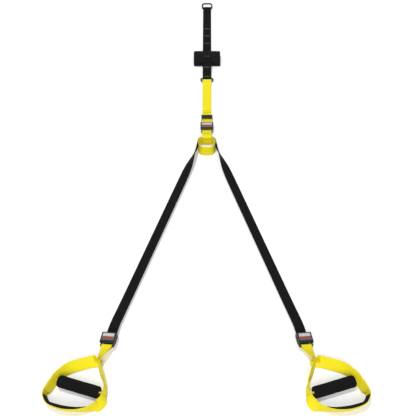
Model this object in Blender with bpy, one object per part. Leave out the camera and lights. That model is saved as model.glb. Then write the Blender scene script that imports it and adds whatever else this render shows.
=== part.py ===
"""A suspension trainer laid out flat on the floor, piece by piece, in metres with +Z up.

The anchor strap lies along +Y, the two legs open towards -Y, and the origin is under the middle
of the whole object. Webbing is a thin rounded band carried along a path: a path is a row of
centres with, at each of them, the direction across the band.
"""
import math

import bmesh
import bpy
import numpy as np
from mathutils import Matrix, Vector

# Webbing and how it is sewn
WEBBING_WIDTH = 0.038
WEBBING_THICK = 0.0022
PLY_GAP = 0.0003
EDGE_ROUND_SHARE = 0.3
BAR_CLEARANCE = 0.0003
FLAT_STEPS = 3

# D-rings at both ends of the anchor strap
RING_WIRE = 0.006
RING_BAR_CORNER = 0.0045
RING_SIDES = 10
ANCHOR_RING_ROOM = 0.0006
ANCHOR_RING_REACH = 0.037
ANCHOR_RING_CORNER = 0.011
LINK_RING_ROOM = 0.004
LINK_RING_REACH = 0.018
LINK_RING_CORNER = 0.0125

# Anchor strap and door pad
ANCHOR_LENGTH = 0.4745
FOLD_TAPER = 0.032
PAD_WIDTH = 0.118
PAD_LENGTH = 0.073
PAD_HEIGHT = 0.026
PAD_EDGE = 0.005
PAD_SKIN = 0.0015
PAD_FOAM_GAP = 0.0003
PAD_FROM_LINK = 0.0815
PAD_ENTRY_SHARE = 0.36
SLIT_SHARE = 0.47
PAD_OUTSIDE_SHARE = 0.07
SLIT_CLEARANCE = 0.0004
STRAP_ON_PAD = 0.0006
ANCHOR_LEAD_SHARE = 0.35
ANCHOR_FLAT_SHARES = (0.4, 0.7, 0.9, 1.0)
ANCHOR_REST_SHARES = (0.36, 0.16, -0.02)
ANCHOR_DROP_SHARES = ((0.78, 0.77), (0.55, 0.45), (0.3, 0.12))
CUTTER_OVERRUN = 0.012

# Extension strap
EXTENSION_LENGTH = 0.2785
SEAM_FROM_BUCKLE = 0.0815
LOOP_SLACK = 0.0006

# Cam buckle
BUCKLE_WIDTH = 0.047
BUCKLE_WALL = 0.0025
BUCKLE_HEIGHT = 0.016
BASE_THICK = 0.0015
BASE_END = 0.012
STRAP_LIFT = 0.0003
PIN_FORWARD = 0.0125
PIN_HEIGHT = 0.0105
PIN_RADIUS = 0.002
PIN_CLEARANCE = 0.0003
WALL_ROUND = 0.0055
BAR_BACK = 0.026
BAR_HEIGHT = 0.0095
BAR_RADIUS = 0.0025
BAR_BOSS = 0.004
BAR_SINK_SHARE = 0.5
BUCKLE_LEAD = 0.028
TAIL_DROP = 0.010

# Long nose of the top buckle
NOSE_START = 0.046
NOSE_BAR_LENGTH = 0.018
NOSE_BAR_LOW = 0.005
NOSE_BAR_HIGH = 0.013
RAIL_HIGH = 0.009
RAIL_LOW = 0.0015

# Cam lever
LEVER_WIDTH = 0.052
LEVER_FRONT = 0.0165
LEVER_BACK = 0.0195
LEVER_THICK = 0.003
LEVER_GAP = 0.0005
LEVER_CROWN = 0.0012
SKIRT_THICK = 0.002
SKIRT_DROP = 0.0085
CAM_SIDE_GAP = 0.0005
DRUM_RADIUS = 0.005
LOBE_CLEARANCE = 0.0003
CAM_LEAN = math.radians(14)
CAM_STEP = math.radians(15)
CAM_TEETH = 4
TOOTH_DEPTH = 0.0006
LIP_LENGTH = 0.0065
LABEL_LENGTH = 0.025
LABEL_WIDTH = 0.045
LABEL_THICK = 0.0012
LABEL_PROUD = 0.0004
LABEL_GAP = 0.0003

# Torsion spring round the pin
SPRING_WIRE = 0.0009
SPRING_GAP = 0.0004
SPRING_TURNS = 4
SPRING_PITCH = 0.0014
SPRING_SIDES = 5
SPRING_POINTS_PER_TURN = 9
SPRING_SLOT_RADIUS = 0.0041
SPRING_SLOT_ROOM = 0.0008

# Yoke strap, locking loop and the strap behind it
YOKE_LENGTH = 0.056
YOKE_ROOM = 0.0005
YOKE_FALL_SHARES = ((0.45, 0.52), (0.8, 0.9), (0.96, 1.0))
LOOP_DEPTH = 0.0594
LOOP_HALF_WIDTH = 0.0334
LOOP_FAR_CORNER = 0.018
LOOP_NEAR_CORNER = 0.022
LOOP_LEAN = math.radians(22)
LOOP_LEAN_END_SHARE = 0.66
LOOP_WALL_STEPS = 4
WALL_FROM_PIVOT = 0.0295
TAIL_LENGTH = 0.022

# Legs
PIVOT_OUT = 0.038
LEG_ANGLE = math.radians(19.55)
BUCKLE_ANGLE = math.radians(11.0)
LEG_LENGTH = 0.838
BEND_BEFORE_BUCKLE = 0.045
BEND_HALF = 0.02
PIVOT_GAP = 0.0008
BUCKLE_ROLL_SHARE = 0.2
LEG_ROLL_SHARES = ((0.0, 1.0), (0.03, 0.98), (0.09, 0.72), (0.14, 0.47), (0.2, 0.3), (0.35, 0.22),
                   (0.6, 0.21), (0.8, BUCKLE_ROLL_SHARE), (0.95, BUCKLE_ROLL_SHARE),
                   (1.06, BUCKLE_ROLL_SHARE))
UPRIGHT = math.radians(90)

# Handle
SLING_LENGTH = 0.048
SPLIT_HEIGHT = 0.0202
SEWN_ROOM = 0.0003
SPLIT_ROLL = math.radians(86)
HANDLE_SLANT = math.radians(15.9)
HAND_DEPTH = 0.098
CRADLE_DEPTH = 0.070
SPLIT_SHARES = (-0.169, -1.007)
HANDLE_SPAN = 0.138
GRIP_END_ROOM = 0.001
GRIP_DIAMETER = 0.038
GRIP_END_ROUND = 0.004
TUBE_DIAMETER = 0.028
TUBE_WALL = 0.002
TUBE_GAP = 0.0003
TUBE_PROUD = 0.0006
GRIP_STEPS = 28
CORE_TUBE_GAP = 0.0003
CORE_ROOM = 0.0005
TAIL_ROOM = 0.0010
CORE_THICK = 0.0044
CRADLE_PAD_THICK = 0.010
CRADLE_PAD_EDGE_SHARE = 0.12
CRADLE_PAD_HEIGHT = 0.034
CORE_INNER_ROWS, CORE_OUTER_ROWS = slice(-20, -3), slice(0, 3)

# Foot cradle: shares along and below the grip, and the band's lean towards the inside in degrees
CRADLE_SHARES = ((0.608, 0.10, -26), (0.644, 0.40, -18), (0.668, 0.66, -4), (0.555, 0.965, 4),
                 (0.260, 1.075, 4), (-0.080, 0.985, 6), (-0.355, 0.77, 20), (-0.530, 0.47, 48),
                 (-0.606, 0.19, 26), (-0.600, -0.02, 8), (-0.578, -0.15, 2), (-0.520, -0.31, 0))
CRADLE_STEPS = 6
PAD_STARTS, PAD_ENDS = 13, 38
OUTER_TAIL, INNER_TAIL = (0, 10), (-3, -15)

# Arms of the hand loop: shares along and above the grip, roll in degrees from lying flat, lift share
OUTER_ARM_SHARES = ((-0.154, -0.978, 98, 0.03), (-0.132, -0.945, 113, 0.02), (-0.098, -0.907, 130, 0.02),
                    (-0.048, -0.867, 144, 0.02), (0.010, -0.827, 154, 0.02), (0.068, -0.783, 158, 0.02),
                    (0.144, -0.692, 148, 0.02), (0.228, -0.596, 136, 0.02), (0.304, -0.502, 128, 0.02),
                    (0.388, -0.396, 120, 0.02), (0.470, -0.295, 117, 0.02), (0.545, -0.175, 117, 0.03),
                    (0.582, -0.05, 116, 0.04))
INNER_ARM_SHARES = ((-0.192, -0.965, 84, 0.03), (-0.228, -0.91, 78, 0.02), (-0.272, -0.85, 74, 0.01),
                    (-0.33, -0.765, 72, 0.0), (-0.387, -0.67, 74, 0.0), (-0.452, -0.545, 77, 0.0),
                    (-0.518, -0.41, 82, 0.0))
SLING_SHARES = (0.0, 0.15, 0.3, 0.48, 0.66, 0.82)
SLING_TAPER_SHARE = 0.5
SLING_TURN_SHARE = 0.5
ARM_STEPS = 3
HANDLE_COLUMNS = 3

STEEL = ("black_steel", (0.05, 0.05, 0.055), 0.35, 0.9)
ZINC = ("grey_zinc", (0.33, 0.35, 0.35), 0.45, 0.6)
SPRING_STEEL = ("spring_steel", (0.55, 0.56, 0.58), 0.3, 1.0)
BLACK_WEBBING = ("black_webbing", (0.03, 0.03, 0.032), 0.85, 0.0)
YELLOW_WEBBING = ("yellow_webbing", (0.86, 0.74, 0.05), 0.75, 0.0)
PAD_FABRIC = ("pad_fabric", (0.04, 0.04, 0.04), 0.9, 0.0)
FOAM = ("foam", (0.05, 0.05, 0.055), 0.95, 0.0)
PLASTIC = ("plastic_tube", (0.10, 0.10, 0.11), 0.5, 0.0)
LABEL = ("label_plate", (0.42, 0.44, 0.44), 0.5, 0.0)

HALF = WEBBING_WIDTH / 2
PLY = WEBBING_THICK + PLY_GAP
RING_RADIUS = RING_WIRE / 2
RING_WRAP = RING_RADIUS + BAR_CLEARANCE + WEBBING_THICK / 2
BAR_WRAP = BAR_RADIUS + BAR_CLEARANCE + WEBBING_THICK / 2
RING_HEIGHT = WEBBING_THICK / 2 + RING_WRAP
STRAP_HEIGHT = BASE_THICK + STRAP_LIFT + WEBBING_THICK / 2
YOKE_LIFT = WEBBING_THICK + PLY_GAP
BUCKLE_ROLL = UPRIGHT * BUCKLE_ROLL_SHARE
TUBE_BORE = TUBE_DIAMETER / 2 - TUBE_WALL
CORE_WIDTH = 2 * math.sqrt((TUBE_BORE - CORE_TUBE_GAP) ** 2 - (CORE_THICK / 2) ** 2)
GRIP_LENGTH = HANDLE_SPAN - 2 * GRIP_END_ROOM
WALL_END = PIN_FORWARD + WALL_ROUND
PAIR_HALF = PLY / 2
PAIR_HEIGHT = WEBBING_THICK + PLY_GAP / 2
STRAP_ON_PAD_HEIGHT = PAD_HEIGHT + STRAP_ON_PAD + PAIR_HEIGHT


def make_material(recipe):
    """A plain material from a name, a colour, a roughness and a metallic value."""
    name, colour, roughness, metallic = recipe
    material = bpy.data.materials.get(name)
    if material is None:
        material = bpy.data.materials.new(name)
        material.use_nodes = True
        shader = material.node_tree.nodes["Principled BSDF"]
        shader.inputs["Base Color"].default_value = (*colour, 1.0)
        shader.inputs["Roughness"].default_value = roughness
        shader.inputs["Metallic"].default_value = metallic
        material.diffuse_color = (*colour, 1.0)
    return material


def add_object(name, points, faces, recipe, smooth=True):
    """An object from points and faces, with its faces turned outwards."""
    mesh = bpy.data.meshes.new(name)
    mesh.from_pydata([tuple(map(float, p)) for p in points], [], faces)
    shape = bmesh.new()
    shape.from_mesh(mesh)
    bmesh.ops.recalc_face_normals(shape, faces=shape.faces)
    shape.to_mesh(mesh)
    shape.free()
    if smooth:
        mesh.shade_smooth()
        mesh.set_sharp_from_angle(angle=math.radians(40))
    mesh.materials.append(make_material(recipe))
    item = bpy.data.objects.new(name, mesh)
    bpy.context.scene.collection.objects.link(item)
    return item


def set_origin(item, point):
    """Puts an object's origin at a point, with its mesh left where it is."""
    item.data.transform(Matrix.Translation(-Vector(point)))
    item.location = Vector(point)
    return item


def combine(item, tool, operation):
    """Cuts a tool out of an object, or joins it on, and removes the tool."""
    modifier = item.modifiers.new("shape", "BOOLEAN")
    modifier.operation = operation
    modifier.solver = "EXACT"
    modifier.object = tool
    bpy.context.view_layer.update()
    graph = bpy.context.evaluated_depsgraph_get()
    mesh = bpy.data.meshes.new_from_object(item.evaluated_get(graph))
    item.modifiers.clear()
    item.data = mesh
    bpy.data.objects.remove(tool)
    return item


def smooth_rows(values, steps, places=2, level=1):
    """Cubic spans through rows of values, over the distance travelled in the first columns.

    The slope at a row is the distance-weighted mean of the rates on its two sides. The columns from
    `level` on take the harmonic mean instead, and zero at a turn, so that they never swing past a row.
    """
    rows = np.array(values, float)
    length = np.linalg.norm(np.diff(rows[:, :places], axis=0), axis=1)[:, None]
    rate = np.diff(rows, axis=0) / length
    slope = np.vstack([rate[:1], (rate[:-1] * length[1:] + rate[1:] * length[:-1])
                       / (length[1:] + length[:-1]), rate[-1:]])
    before, after = rate[:-1, level:], rate[1:, level:]
    same = before * after > 0
    slope[1:-1, level:] = np.where(same, 2 * before * after / np.where(same, before + after, 1), 0)
    t = np.linspace(0, 1, steps, endpoint=False)[:, None]
    spans = []
    for k, span in enumerate(length):
        spans.append((2 * t**3 - 3 * t**2 + 1) * rows[k] + (t**3 - 2 * t**2 + t) * slope[k] * span
                     + (3 * t**2 - 2 * t**3) * rows[k + 1] + (t**3 - t**2) * slope[k + 1] * span)
    return np.vstack([*spans, rows[-1:]])


def arc(centre, radius, start, end, steps):
    """Points on a circle round a centre, in the plane of the two coordinates given."""
    angles = np.linspace(start, end, steps + 1)
    return np.array(centre) + radius * np.column_stack([np.cos(angles), np.sin(angles)])


def directions(path):
    """The unit direction of travel at each point of a path."""
    step = np.gradient(path, axis=0)
    return step / np.linalg.norm(step, axis=1)[:, None]


def band_frame(path, across):
    """The direction across a band, squared to its path, and the direction out of its face."""
    travel = directions(path)
    across = np.broadcast_to(np.array(across, float), path.shape)
    across = across - travel * np.sum(across * travel, axis=1)[:, None]
    across = across / np.linalg.norm(across, axis=1)[:, None]
    return across, np.cross(travel, across)


def band(name, path, across, recipe, half=HALF, low=None, high=None, round_share=EDGE_ROUND_SHARE,
         columns=1):
    """A band along a path, from low to high out of its face, with its long edges rounded off."""
    path = np.array(path, float)
    across, out = band_frame(path, across)
    low = np.broadcast_to(-WEBBING_THICK / 2 if low is None else low, len(path))
    high = np.broadcast_to(WEBBING_THICK / 2 if high is None else high, len(path))
    nick = round_share * (high - low)
    flat = half - nick
    over = [(flat * share, high) for share in np.linspace(1, -1, columns + 1)]
    under = [(flat * share, low) for share in np.linspace(-1, 1, columns + 1)]
    corners = [(half, low + nick), (half, high - nick), *over]
    corners += [(-half, high - nick), (-half, low + nick), *under]
    rings = [path + across * np.reshape(side, (-1, 1)) + out * np.reshape(up, (-1, 1))
             for side, up in corners]
    return skin(name, np.stack(rings, axis=1), recipe)


def skin(name, rings, recipe, closed=False):
    """A closed body over rows of section points, with flat ends unless the row closes on itself."""
    rows, sides = rings.shape[:2]
    faces = []
    for row in range(rows if closed else rows - 1):
        here, there = row * sides, (row + 1) % rows * sides
        for k in range(sides):
            after = (k + 1) % sides
            faces.append((here + k, here + after, there + after, there + k))
    if not closed:
        faces.append(tuple(range(sides))[::-1])
        faces.append(tuple(range((rows - 1) * sides, rows * sides)))
    return add_object(name, rings.reshape(-1, 3), faces, recipe)


def wire(name, path, radius, sides, recipe, closed=False):
    """A round wire along a path, its section carried on without twist from point to point."""
    path = np.array(path, float)
    if closed:
        step = np.roll(path, -1, axis=0) - np.roll(path, 1, axis=0)
        travel = step / np.linalg.norm(step, axis=1)[:, None]
    else:
        travel = directions(path)
    first = np.cross(travel[0], travel[len(travel) // 5] + np.array((0.0, 0.0, 1.0)))
    up = first / np.linalg.norm(first)
    ups = []
    for way in travel:
        up = up - way * np.dot(up, way)
        up = up / np.linalg.norm(up)
        ups.append(up)
    ups = np.array(ups)
    side = np.cross(travel, ups)
    angles = np.linspace(0, 2 * math.pi, sides, endpoint=False)
    rings = [path + radius * (ups * math.cos(a) + side * math.sin(a)) for a in angles]
    return skin(name, np.stack(rings, axis=1), recipe, closed)


def prism(name, outline, low, high, recipe):
    """A solid between two sides of a (y, z) outline, from low to high along X."""
    count = len(outline)
    points = [(low, y, z) for y, z in outline] + [(high, y, z) for y, z in outline]
    faces = [tuple(range(count)), tuple(range(count, 2 * count))]
    faces += [(k, (k + 1) % count, count + (k + 1) % count, count + k) for k in range(count)]
    return add_object(name, points, faces, recipe, smooth=False)


def turned(name, profile, steps, recipe):
    """A ring-shaped solid: a closed (x, radius) outline turned round the X axis."""
    angles = np.linspace(0, 2 * math.pi, steps, endpoint=False)
    rings = np.array([[(x, r * math.cos(a), r * math.sin(a)) for x, r in profile] for a in angles])
    return skin(name, rings, recipe, closed=True)


def box(name, low, high, recipe, edge=0.0, edge_steps=2):
    """A block from its low to its high corner, with all its edges rounded."""
    shape = bmesh.new()
    bmesh.ops.create_cube(shape, size=1)
    low, high = Vector(low), Vector(high)
    bmesh.ops.scale(shape, verts=shape.verts, vec=high - low)
    bmesh.ops.translate(shape, verts=shape.verts, vec=(low + high) / 2)
    if edge:
        bmesh.ops.bevel(shape, geom=shape.edges[:], offset=edge, segments=edge_steps, profile=0.5,
                        affect="EDGES")
    points = [v.co.copy() for v in shape.verts]
    faces = [tuple(v.index for v in f.verts) for f in shape.faces]
    shape.free()
    return add_object(name, points, faces, recipe)


def in_long_plane(rows):
    """(y, z) rows as points on the centre plane."""
    rows = np.array(rows, float)
    return np.column_stack([np.zeros(len(rows)), rows])


def plies(middle, gaps):
    """The two plies of a doubled strap: the middle line moved out by each point's gap, both ways."""
    travel = directions(middle)
    out = np.column_stack([-travel[:, 1], travel[:, 0]])
    gaps = np.array(gaps)[:, None]
    return middle + out * gaps, middle - out * gaps


def ease(value):
    """Runs from 0 to 1 with level ends."""
    value = np.clip(value, 0, 1)
    return value * value * (3 - 2 * value)


# Places along the strap, as distances from the leg pivots, and the handle in plan


def leg_way(side, reach=0.0):
    """Unit directions at a distance down one leg: along it, and level across it towards the middle."""
    past = reach - (LEG_LENGTH - BEND_BEFORE_BUCKLE - BEND_HALF)
    turned = min(max(past / (2 * BEND_HALF), 0.0), 1.0)
    angle = LEG_ANGLE + (BUCKLE_ANGLE - LEG_ANGLE) * turned
    down = np.array((side * math.sin(angle), -math.cos(angle), 0.0))
    inward = np.array((-side * math.cos(angle), -math.sin(angle), 0.0))
    return down, inward


def handle_place(side, along_share, down_share, height, pivot_y):
    """A point of the handle from shares of its span and of the depths on its two sides."""
    def plan(along, down):
        return np.array((along * math.cos(HANDLE_SLANT) + down * math.sin(HANDLE_SLANT),
                         along * math.sin(HANDLE_SLANT) - down * math.cos(HANDLE_SLANT)))
    reach = LEG_LENGTH + BAR_BACK + SLING_LENGTH
    split = np.array((PIVOT_OUT + reach * math.sin(LEG_ANGLE), pivot_y - reach * math.cos(LEG_ANGLE)))
    middle = split - plan(SPLIT_SHARES[0] * HANDLE_SPAN, SPLIT_SHARES[1] * HAND_DEPTH)
    depth = HAND_DEPTH if down_share < 0 else CRADLE_DEPTH
    spot = middle + plan(along_share * HANDLE_SPAN, down_share * depth)
    return np.array((side * spot[0], spot[1], height))


def handle_way(side):
    """Unit directions of one handle: out along its grip, and down from the grip to the cradle."""
    along = np.array((side * math.cos(HANDLE_SLANT), math.sin(HANDLE_SLANT), 0.0))
    down = np.array((side * math.sin(HANDLE_SLANT), -math.cos(HANDLE_SLANT), 0.0))
    return along, down


def cradle_path(side, pivot_y):
    """Centres of the foot cradle's band, the directions up it and the directions to its inside."""
    spots = [(*handle_place(side, a, d, 0.0, pivot_y)[:2], math.radians(lean))
             for a, d, lean in CRADLE_SHARES]
    rows = smooth_rows(spots, CRADLE_STEPS, 2, 2)
    lean = rows[:, 2:]
    path = np.column_stack([rows[:, :2], np.zeros(len(rows))])
    inside = side * np.cross(directions(path), (0.0, 0.0, 1.0))
    up = inside * np.sin(lean) + np.array((0.0, 0.0, 1.0)) * np.cos(lean)
    path[:, 2] = HALF * np.cos(lean[:, 0]) + np.abs(np.sin(lean[:, 0])) * WEBBING_THICK / 2
    across, out = band_frame(path, up)
    return path, across, side * out


def near_reach():
    """How far the cradles reach towards -Y from the leg pivots."""
    path, up, inside = cradle_path(1, 0.0)
    edge = np.abs(up[:, 1]) * HALF + np.abs(inside[:, 1]) * WEBBING_THICK / 2
    return np.max(edge - path[:, 1])


FAR_REACH = (WALL_FROM_PIVOT + YOKE_LENGTH + BAR_BACK + EXTENSION_LENGTH + ANCHOR_LENGTH
             + ANCHOR_RING_REACH + RING_RADIUS)
PIVOT_Y = (near_reach() - FAR_REACH) / 2
LOOP_WALL_Y = PIVOT_Y + WALL_FROM_PIVOT
TOP_BAR_Y = LOOP_WALL_Y + YOKE_LENGTH
TOP_BUCKLE_Y = TOP_BAR_Y + BAR_BACK
LINK_BAR_Y = TOP_BUCKLE_Y + EXTENSION_LENGTH
ANCHOR_BAR_Y = LINK_BAR_Y + ANCHOR_LENGTH
PAD_FRONT_Y = LINK_BAR_Y + PAD_FROM_LINK
PAD_BACK_Y = PAD_FRONT_Y + PAD_LENGTH


def d_ring(name, bar_y, way, room, reach, far_corner, far_height):
    """A bent wire: a straight bar with tight corners, straight sides and a rounded far end."""
    half = HALF + room + RING_RADIUS
    near = RING_BAR_CORNER
    turns = [arc((near - half, near), near, 1.5 * math.pi, math.pi, 3),
             arc((far_corner - half, reach - far_corner), far_corner, math.pi, 0.5 * math.pi, 6),
             arc((half - far_corner, reach - far_corner), far_corner, 0.5 * math.pi, 0, 6),
             arc((half - near, near), near, 0, -0.5 * math.pi, 3)]
    plan = np.vstack(turns)
    rise = (far_height - RING_HEIGHT) / reach
    path = np.column_stack([plan[:, 0], bar_y + way * plan[:, 1], RING_HEIGHT + rise * plan[:, 1]])
    ring = wire(name, path, RING_RADIUS, RING_SIDES, STEEL, closed=True)
    return set_origin(ring, (0, bar_y, RING_HEIGHT))


def pad_run():
    """The doubled strap's middle line at the pad: entry, slit, and the rest on the pad's top."""
    entry = (PAD_BACK_Y, PAD_HEIGHT * PAD_ENTRY_SHARE)
    slit = (PAD_FRONT_Y + SLIT_SHARE * PAD_LENGTH, PAD_HEIGHT)
    return entry, slit


def anchor_middle():
    """Middle line of the anchor strap from its ring, up into the pad and down to the link ring."""
    entry, slit = pad_run()
    slope = (slit[1] - entry[1]) / (slit[0] - entry[0])
    outside = PAD_LENGTH * PAD_OUTSIDE_SHARE
    floor_y = PAD_BACK_Y + PAD_LENGTH * ANCHOR_LEAD_SHARE
    rows = [(ANCHOR_BAR_Y, RING_HEIGHT), (ANCHOR_BAR_Y - FOLD_TAPER / 2, (RING_HEIGHT + PAIR_HEIGHT) / 2),
            (ANCHOR_BAR_Y - FOLD_TAPER, PAIR_HEIGHT)]
    rows += [(ANCHOR_BAR_Y + (floor_y - ANCHOR_BAR_Y) * share, PAIR_HEIGHT) for share in ANCHOR_FLAT_SHARES]
    rows += [(entry[0] + outside, entry[1] + slope * outside)]
    rows += [entry, ((entry[0] + slit[0]) / 2, (entry[1] + slit[1]) / 2), slit]
    rows += [(PAD_FRONT_Y + share * PAD_LENGTH, STRAP_ON_PAD_HEIGHT) for share in ANCHOR_REST_SHARES]
    fall = STRAP_ON_PAD_HEIGHT - RING_HEIGHT
    rows += [(LINK_BAR_Y + share * PAD_FROM_LINK, RING_HEIGHT + high * fall)
             for share, high in ANCHOR_DROP_SHARES]
    rows += [(LINK_BAR_Y, RING_HEIGHT)]
    return smooth_rows(rows, FLAT_STEPS)


def anchor_strap():
    """One length of webbing: both its ends meet on the underside, where two plies lie sewn together."""
    middle = anchor_middle()
    to_far = np.abs(middle[:, 0] - ANCHOR_BAR_Y) / FOLD_TAPER
    to_near = np.abs(middle[:, 0] - LINK_BAR_Y) / FOLD_TAPER
    spread = 1 - ease(np.minimum(to_far, to_near))
    under, over = plies(middle, PAIR_HALF + (RING_WRAP - PAIR_HALF) * spread)
    join = int(np.argmin(np.abs(middle[:, 0] - (ANCHOR_BAR_Y - 2 * PAD_LENGTH))))
    far = arc((ANCHOR_BAR_Y, RING_HEIGHT), RING_WRAP, -0.5 * math.pi, 0.5 * math.pi, 8)
    near = arc((LINK_BAR_Y, RING_HEIGHT), RING_WRAP, 0.5 * math.pi, 1.5 * math.pi, 8)
    if under[5, 1] > over[5, 1]:
        under, over = over, under
    under[:, 1] = np.maximum(under[:, 1], WEBBING_THICK / 2)
    rows = np.vstack([under[join:0:-1], far, over[1:-1], near, under[-2:join:-1]])
    return band("anchor_strap", in_long_plane(rows), (1, 0, 0), BLACK_WEBBING)


def pad_channel(half, grow):
    """A cutter along the strap's straight run through the pad."""
    entry, slit = pad_run()
    run = np.array([entry, slit])
    way = (run[1] - run[0]) / np.linalg.norm(run[1] - run[0])
    ends = np.array([run[0] - way * CUTTER_OVERRUN, run[1] + way * CUTTER_OVERRUN])
    return band("channel", in_long_plane(ends), (1, 0, 0), FOAM, half, -grow, grow, 0.0)


def door_pad():
    """A fabric cover with a strap slit at its back and one on top, and the foam block inside."""
    room = PAIR_HALF + WEBBING_THICK / 2 + SLIT_CLEARANCE
    half = HALF + SLIT_CLEARANCE
    low = Vector((-PAD_WIDTH / 2, PAD_FRONT_Y, 0))
    high = Vector((PAD_WIDTH / 2, PAD_BACK_Y, PAD_HEIGHT))
    inset = Vector((PAD_SKIN, PAD_SKIN, PAD_SKIN))
    gap = inset + Vector((PAD_FOAM_GAP, PAD_FOAM_GAP, PAD_FOAM_GAP))
    cover = box("door_pad_cover", low, high, PAD_FABRIC, PAD_EDGE, 3)
    hollow = box("hollow", low + inset, high - inset, PAD_FABRIC, PAD_EDGE - PAD_SKIN, 3)
    combine(cover, hollow, "DIFFERENCE")
    combine(cover, pad_channel(half, room), "DIFFERENCE")
    foam = box("door_pad_foam", low + gap, high - gap, FOAM, PAD_EDGE - PAD_SKIN, 3)
    combine(foam, pad_channel(half, room), "DIFFERENCE")
    return cover, foam


def extension_strap():
    """Yellow webbing: the upper ply ends at a seam, the lower one runs on through the buckle."""
    arch_y = LINK_BAR_Y - LINK_RING_REACH
    fold_y = LINK_BAR_Y - RING_WRAP - WEBBING_THICK / 2 - LOOP_SLACK
    seam_y = TOP_BUCKLE_Y + SEAM_FROM_BUCKLE
    top = RING_HEIGHT + RING_WRAP
    bend = fold_y - WEBBING_THICK / 2 - RING_WRAP
    ply_top = WEBBING_THICK / 2 + PLY
    upper = smooth_rows([(seam_y, ply_top), ((seam_y * 2 + arch_y) / 3, ply_top),
                         (arch_y - FOLD_TAPER * 1.2, ply_top),
                         (arch_y - FOLD_TAPER * 0.5, (ply_top + top) / 2),
                         (arch_y - RING_WIRE, top), (arch_y, top), (bend, top)], FLAT_STEPS)
    fold = arc((bend, RING_HEIGHT), RING_WRAP, 0.5 * math.pi, -0.5 * math.pi, 8)
    rest = WEBBING_THICK / 2
    nose_end = TOP_BUCKLE_Y + NOSE_START + NOSE_BAR_LENGTH
    lower = smooth_rows([(bend, rest), (arch_y, rest), ((arch_y + seam_y) / 2, rest), (seam_y, rest),
                         (nose_end, rest), (TOP_BUCKLE_Y + BUCKLE_LEAD, rest),
                         (TOP_BUCKLE_Y + WALL_END, STRAP_HEIGHT),
                         (TOP_BUCKLE_Y, STRAP_HEIGHT), (TOP_BUCKLE_Y - BASE_END, STRAP_HEIGHT),
                         (TOP_BUCKLE_Y - BASE_END - TAIL_DROP, rest),
                         (TOP_BUCKLE_Y - BAR_BACK - TAIL_LENGTH, rest)], FLAT_STEPS)
    rows = np.vstack([upper[:-1], fold, lower[1:]])
    return band("extension_strap", in_long_plane(rows), (1, 0, 0), YELLOW_WEBBING)


def buckle_frame(name, nose):
    """Two side walls, a base under the strap and a fixed bar, and on the top buckle a long nose."""
    pin = (PIN_FORWARD, PIN_HEIGHT)
    bar = (-BAR_BACK, BAR_HEIGHT)
    outline = [tuple(p) for p in arc(pin, WALL_ROUND, 0.5 * math.pi, -0.2 * math.pi, 6)]
    outline += [(PIN_FORWARD, 0), (-BASE_END, 0)]
    outline += [tuple(p) for p in arc(bar, BAR_BOSS, 1.4 * math.pi, 0.6 * math.pi, 8)]
    outline += [(-LEVER_BACK / 2, BUCKLE_HEIGHT)]
    half = BUCKLE_WIDTH / 2
    frame = prism(name, outline, half - BUCKLE_WALL, half, ZINC)
    sink = BUCKLE_WALL * BAR_SINK_SHARE
    span = half - sink
    base = box("base", (-span, -BASE_END + sink, 0), (span, PIN_FORWARD - sink, BASE_THICK), ZINC)
    combine(frame, base, "UNION")
    combine(frame, prism("wall", outline, -half, BUCKLE_WALL - half, ZINC), "UNION")
    rod = wire("bar", [(-span, *bar), (0, *bar), (span, *bar)], BAR_RADIUS, 12, ZINC)
    combine(frame, rod, "UNION")
    if nose:
        end = NOSE_START + NOSE_BAR_LENGTH
        rail = [(PIN_FORWARD, RAIL_LOW), (end, NOSE_BAR_LOW - RAIL_LOW), (end, NOSE_BAR_HIGH),
                (NOSE_START, NOSE_BAR_HIGH), (NOSE_START - NOSE_BAR_LENGTH, RAIL_HIGH),
                (PIN_FORWARD, RAIL_HIGH)]
        for low in (-half, half - BUCKLE_WALL):
            inner = low + BUCKLE_WALL
            combine(frame, prism("rail", rail, low + sink / 2, inner - sink / 2, ZINC), "UNION")
        near_corner = (-span, NOSE_START + sink, NOSE_BAR_LOW)
        far_corner = (span, end - sink, NOSE_BAR_HIGH - sink / 2)
        cross = box("cross", near_corner, far_corner, ZINC, RAIL_LOW)
        combine(frame, cross, "UNION")
    hole = wire("hole", [(-LEVER_WIDTH, *pin), (0, *pin), (LEVER_WIDTH, *pin)],
                PIN_RADIUS + PIN_CLEARANCE, 16, ZINC)
    combine(frame, hole, "DIFFERENCE")
    return frame


def cam_outline():
    """Drum, toothed lobe and web of the cam, as (y, z) points round the pin."""
    reach = PIN_HEIGHT - STRAP_HEIGHT - WEBBING_THICK / 2 - LOBE_CLEARANCE
    top = BUCKLE_HEIGHT + LEVER_GAP + LEVER_THICK / 2 - PIN_HEIGHT
    points = [(DRUM_RADIUS * math.cos(a), DRUM_RADIUS * math.sin(a))
              for a in np.linspace(0.35 * math.pi, -0.5 * math.pi, 8)]
    for k in range(CAM_TEETH):
        a = -0.5 * math.pi - CAM_LEAN - k * CAM_STEP
        for turn, depth in ((0.0, 0.0), (CAM_STEP / 2, TOOTH_DEPTH)):
            r = reach - depth
            points.append((r * math.cos(a - turn), r * math.sin(a - turn)))
    a = -0.5 * math.pi - CAM_LEAN - CAM_TEETH * CAM_STEP
    points.append((DRUM_RADIUS * 1.2 * math.cos(a), DRUM_RADIUS * 1.2 * math.sin(a)))
    points += [(-DRUM_RADIUS * 1.4, top), (DRUM_RADIUS * 0.4, top)]
    return [(PIN_FORWARD + y, PIN_HEIGHT + z) for y, z in points]


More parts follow.
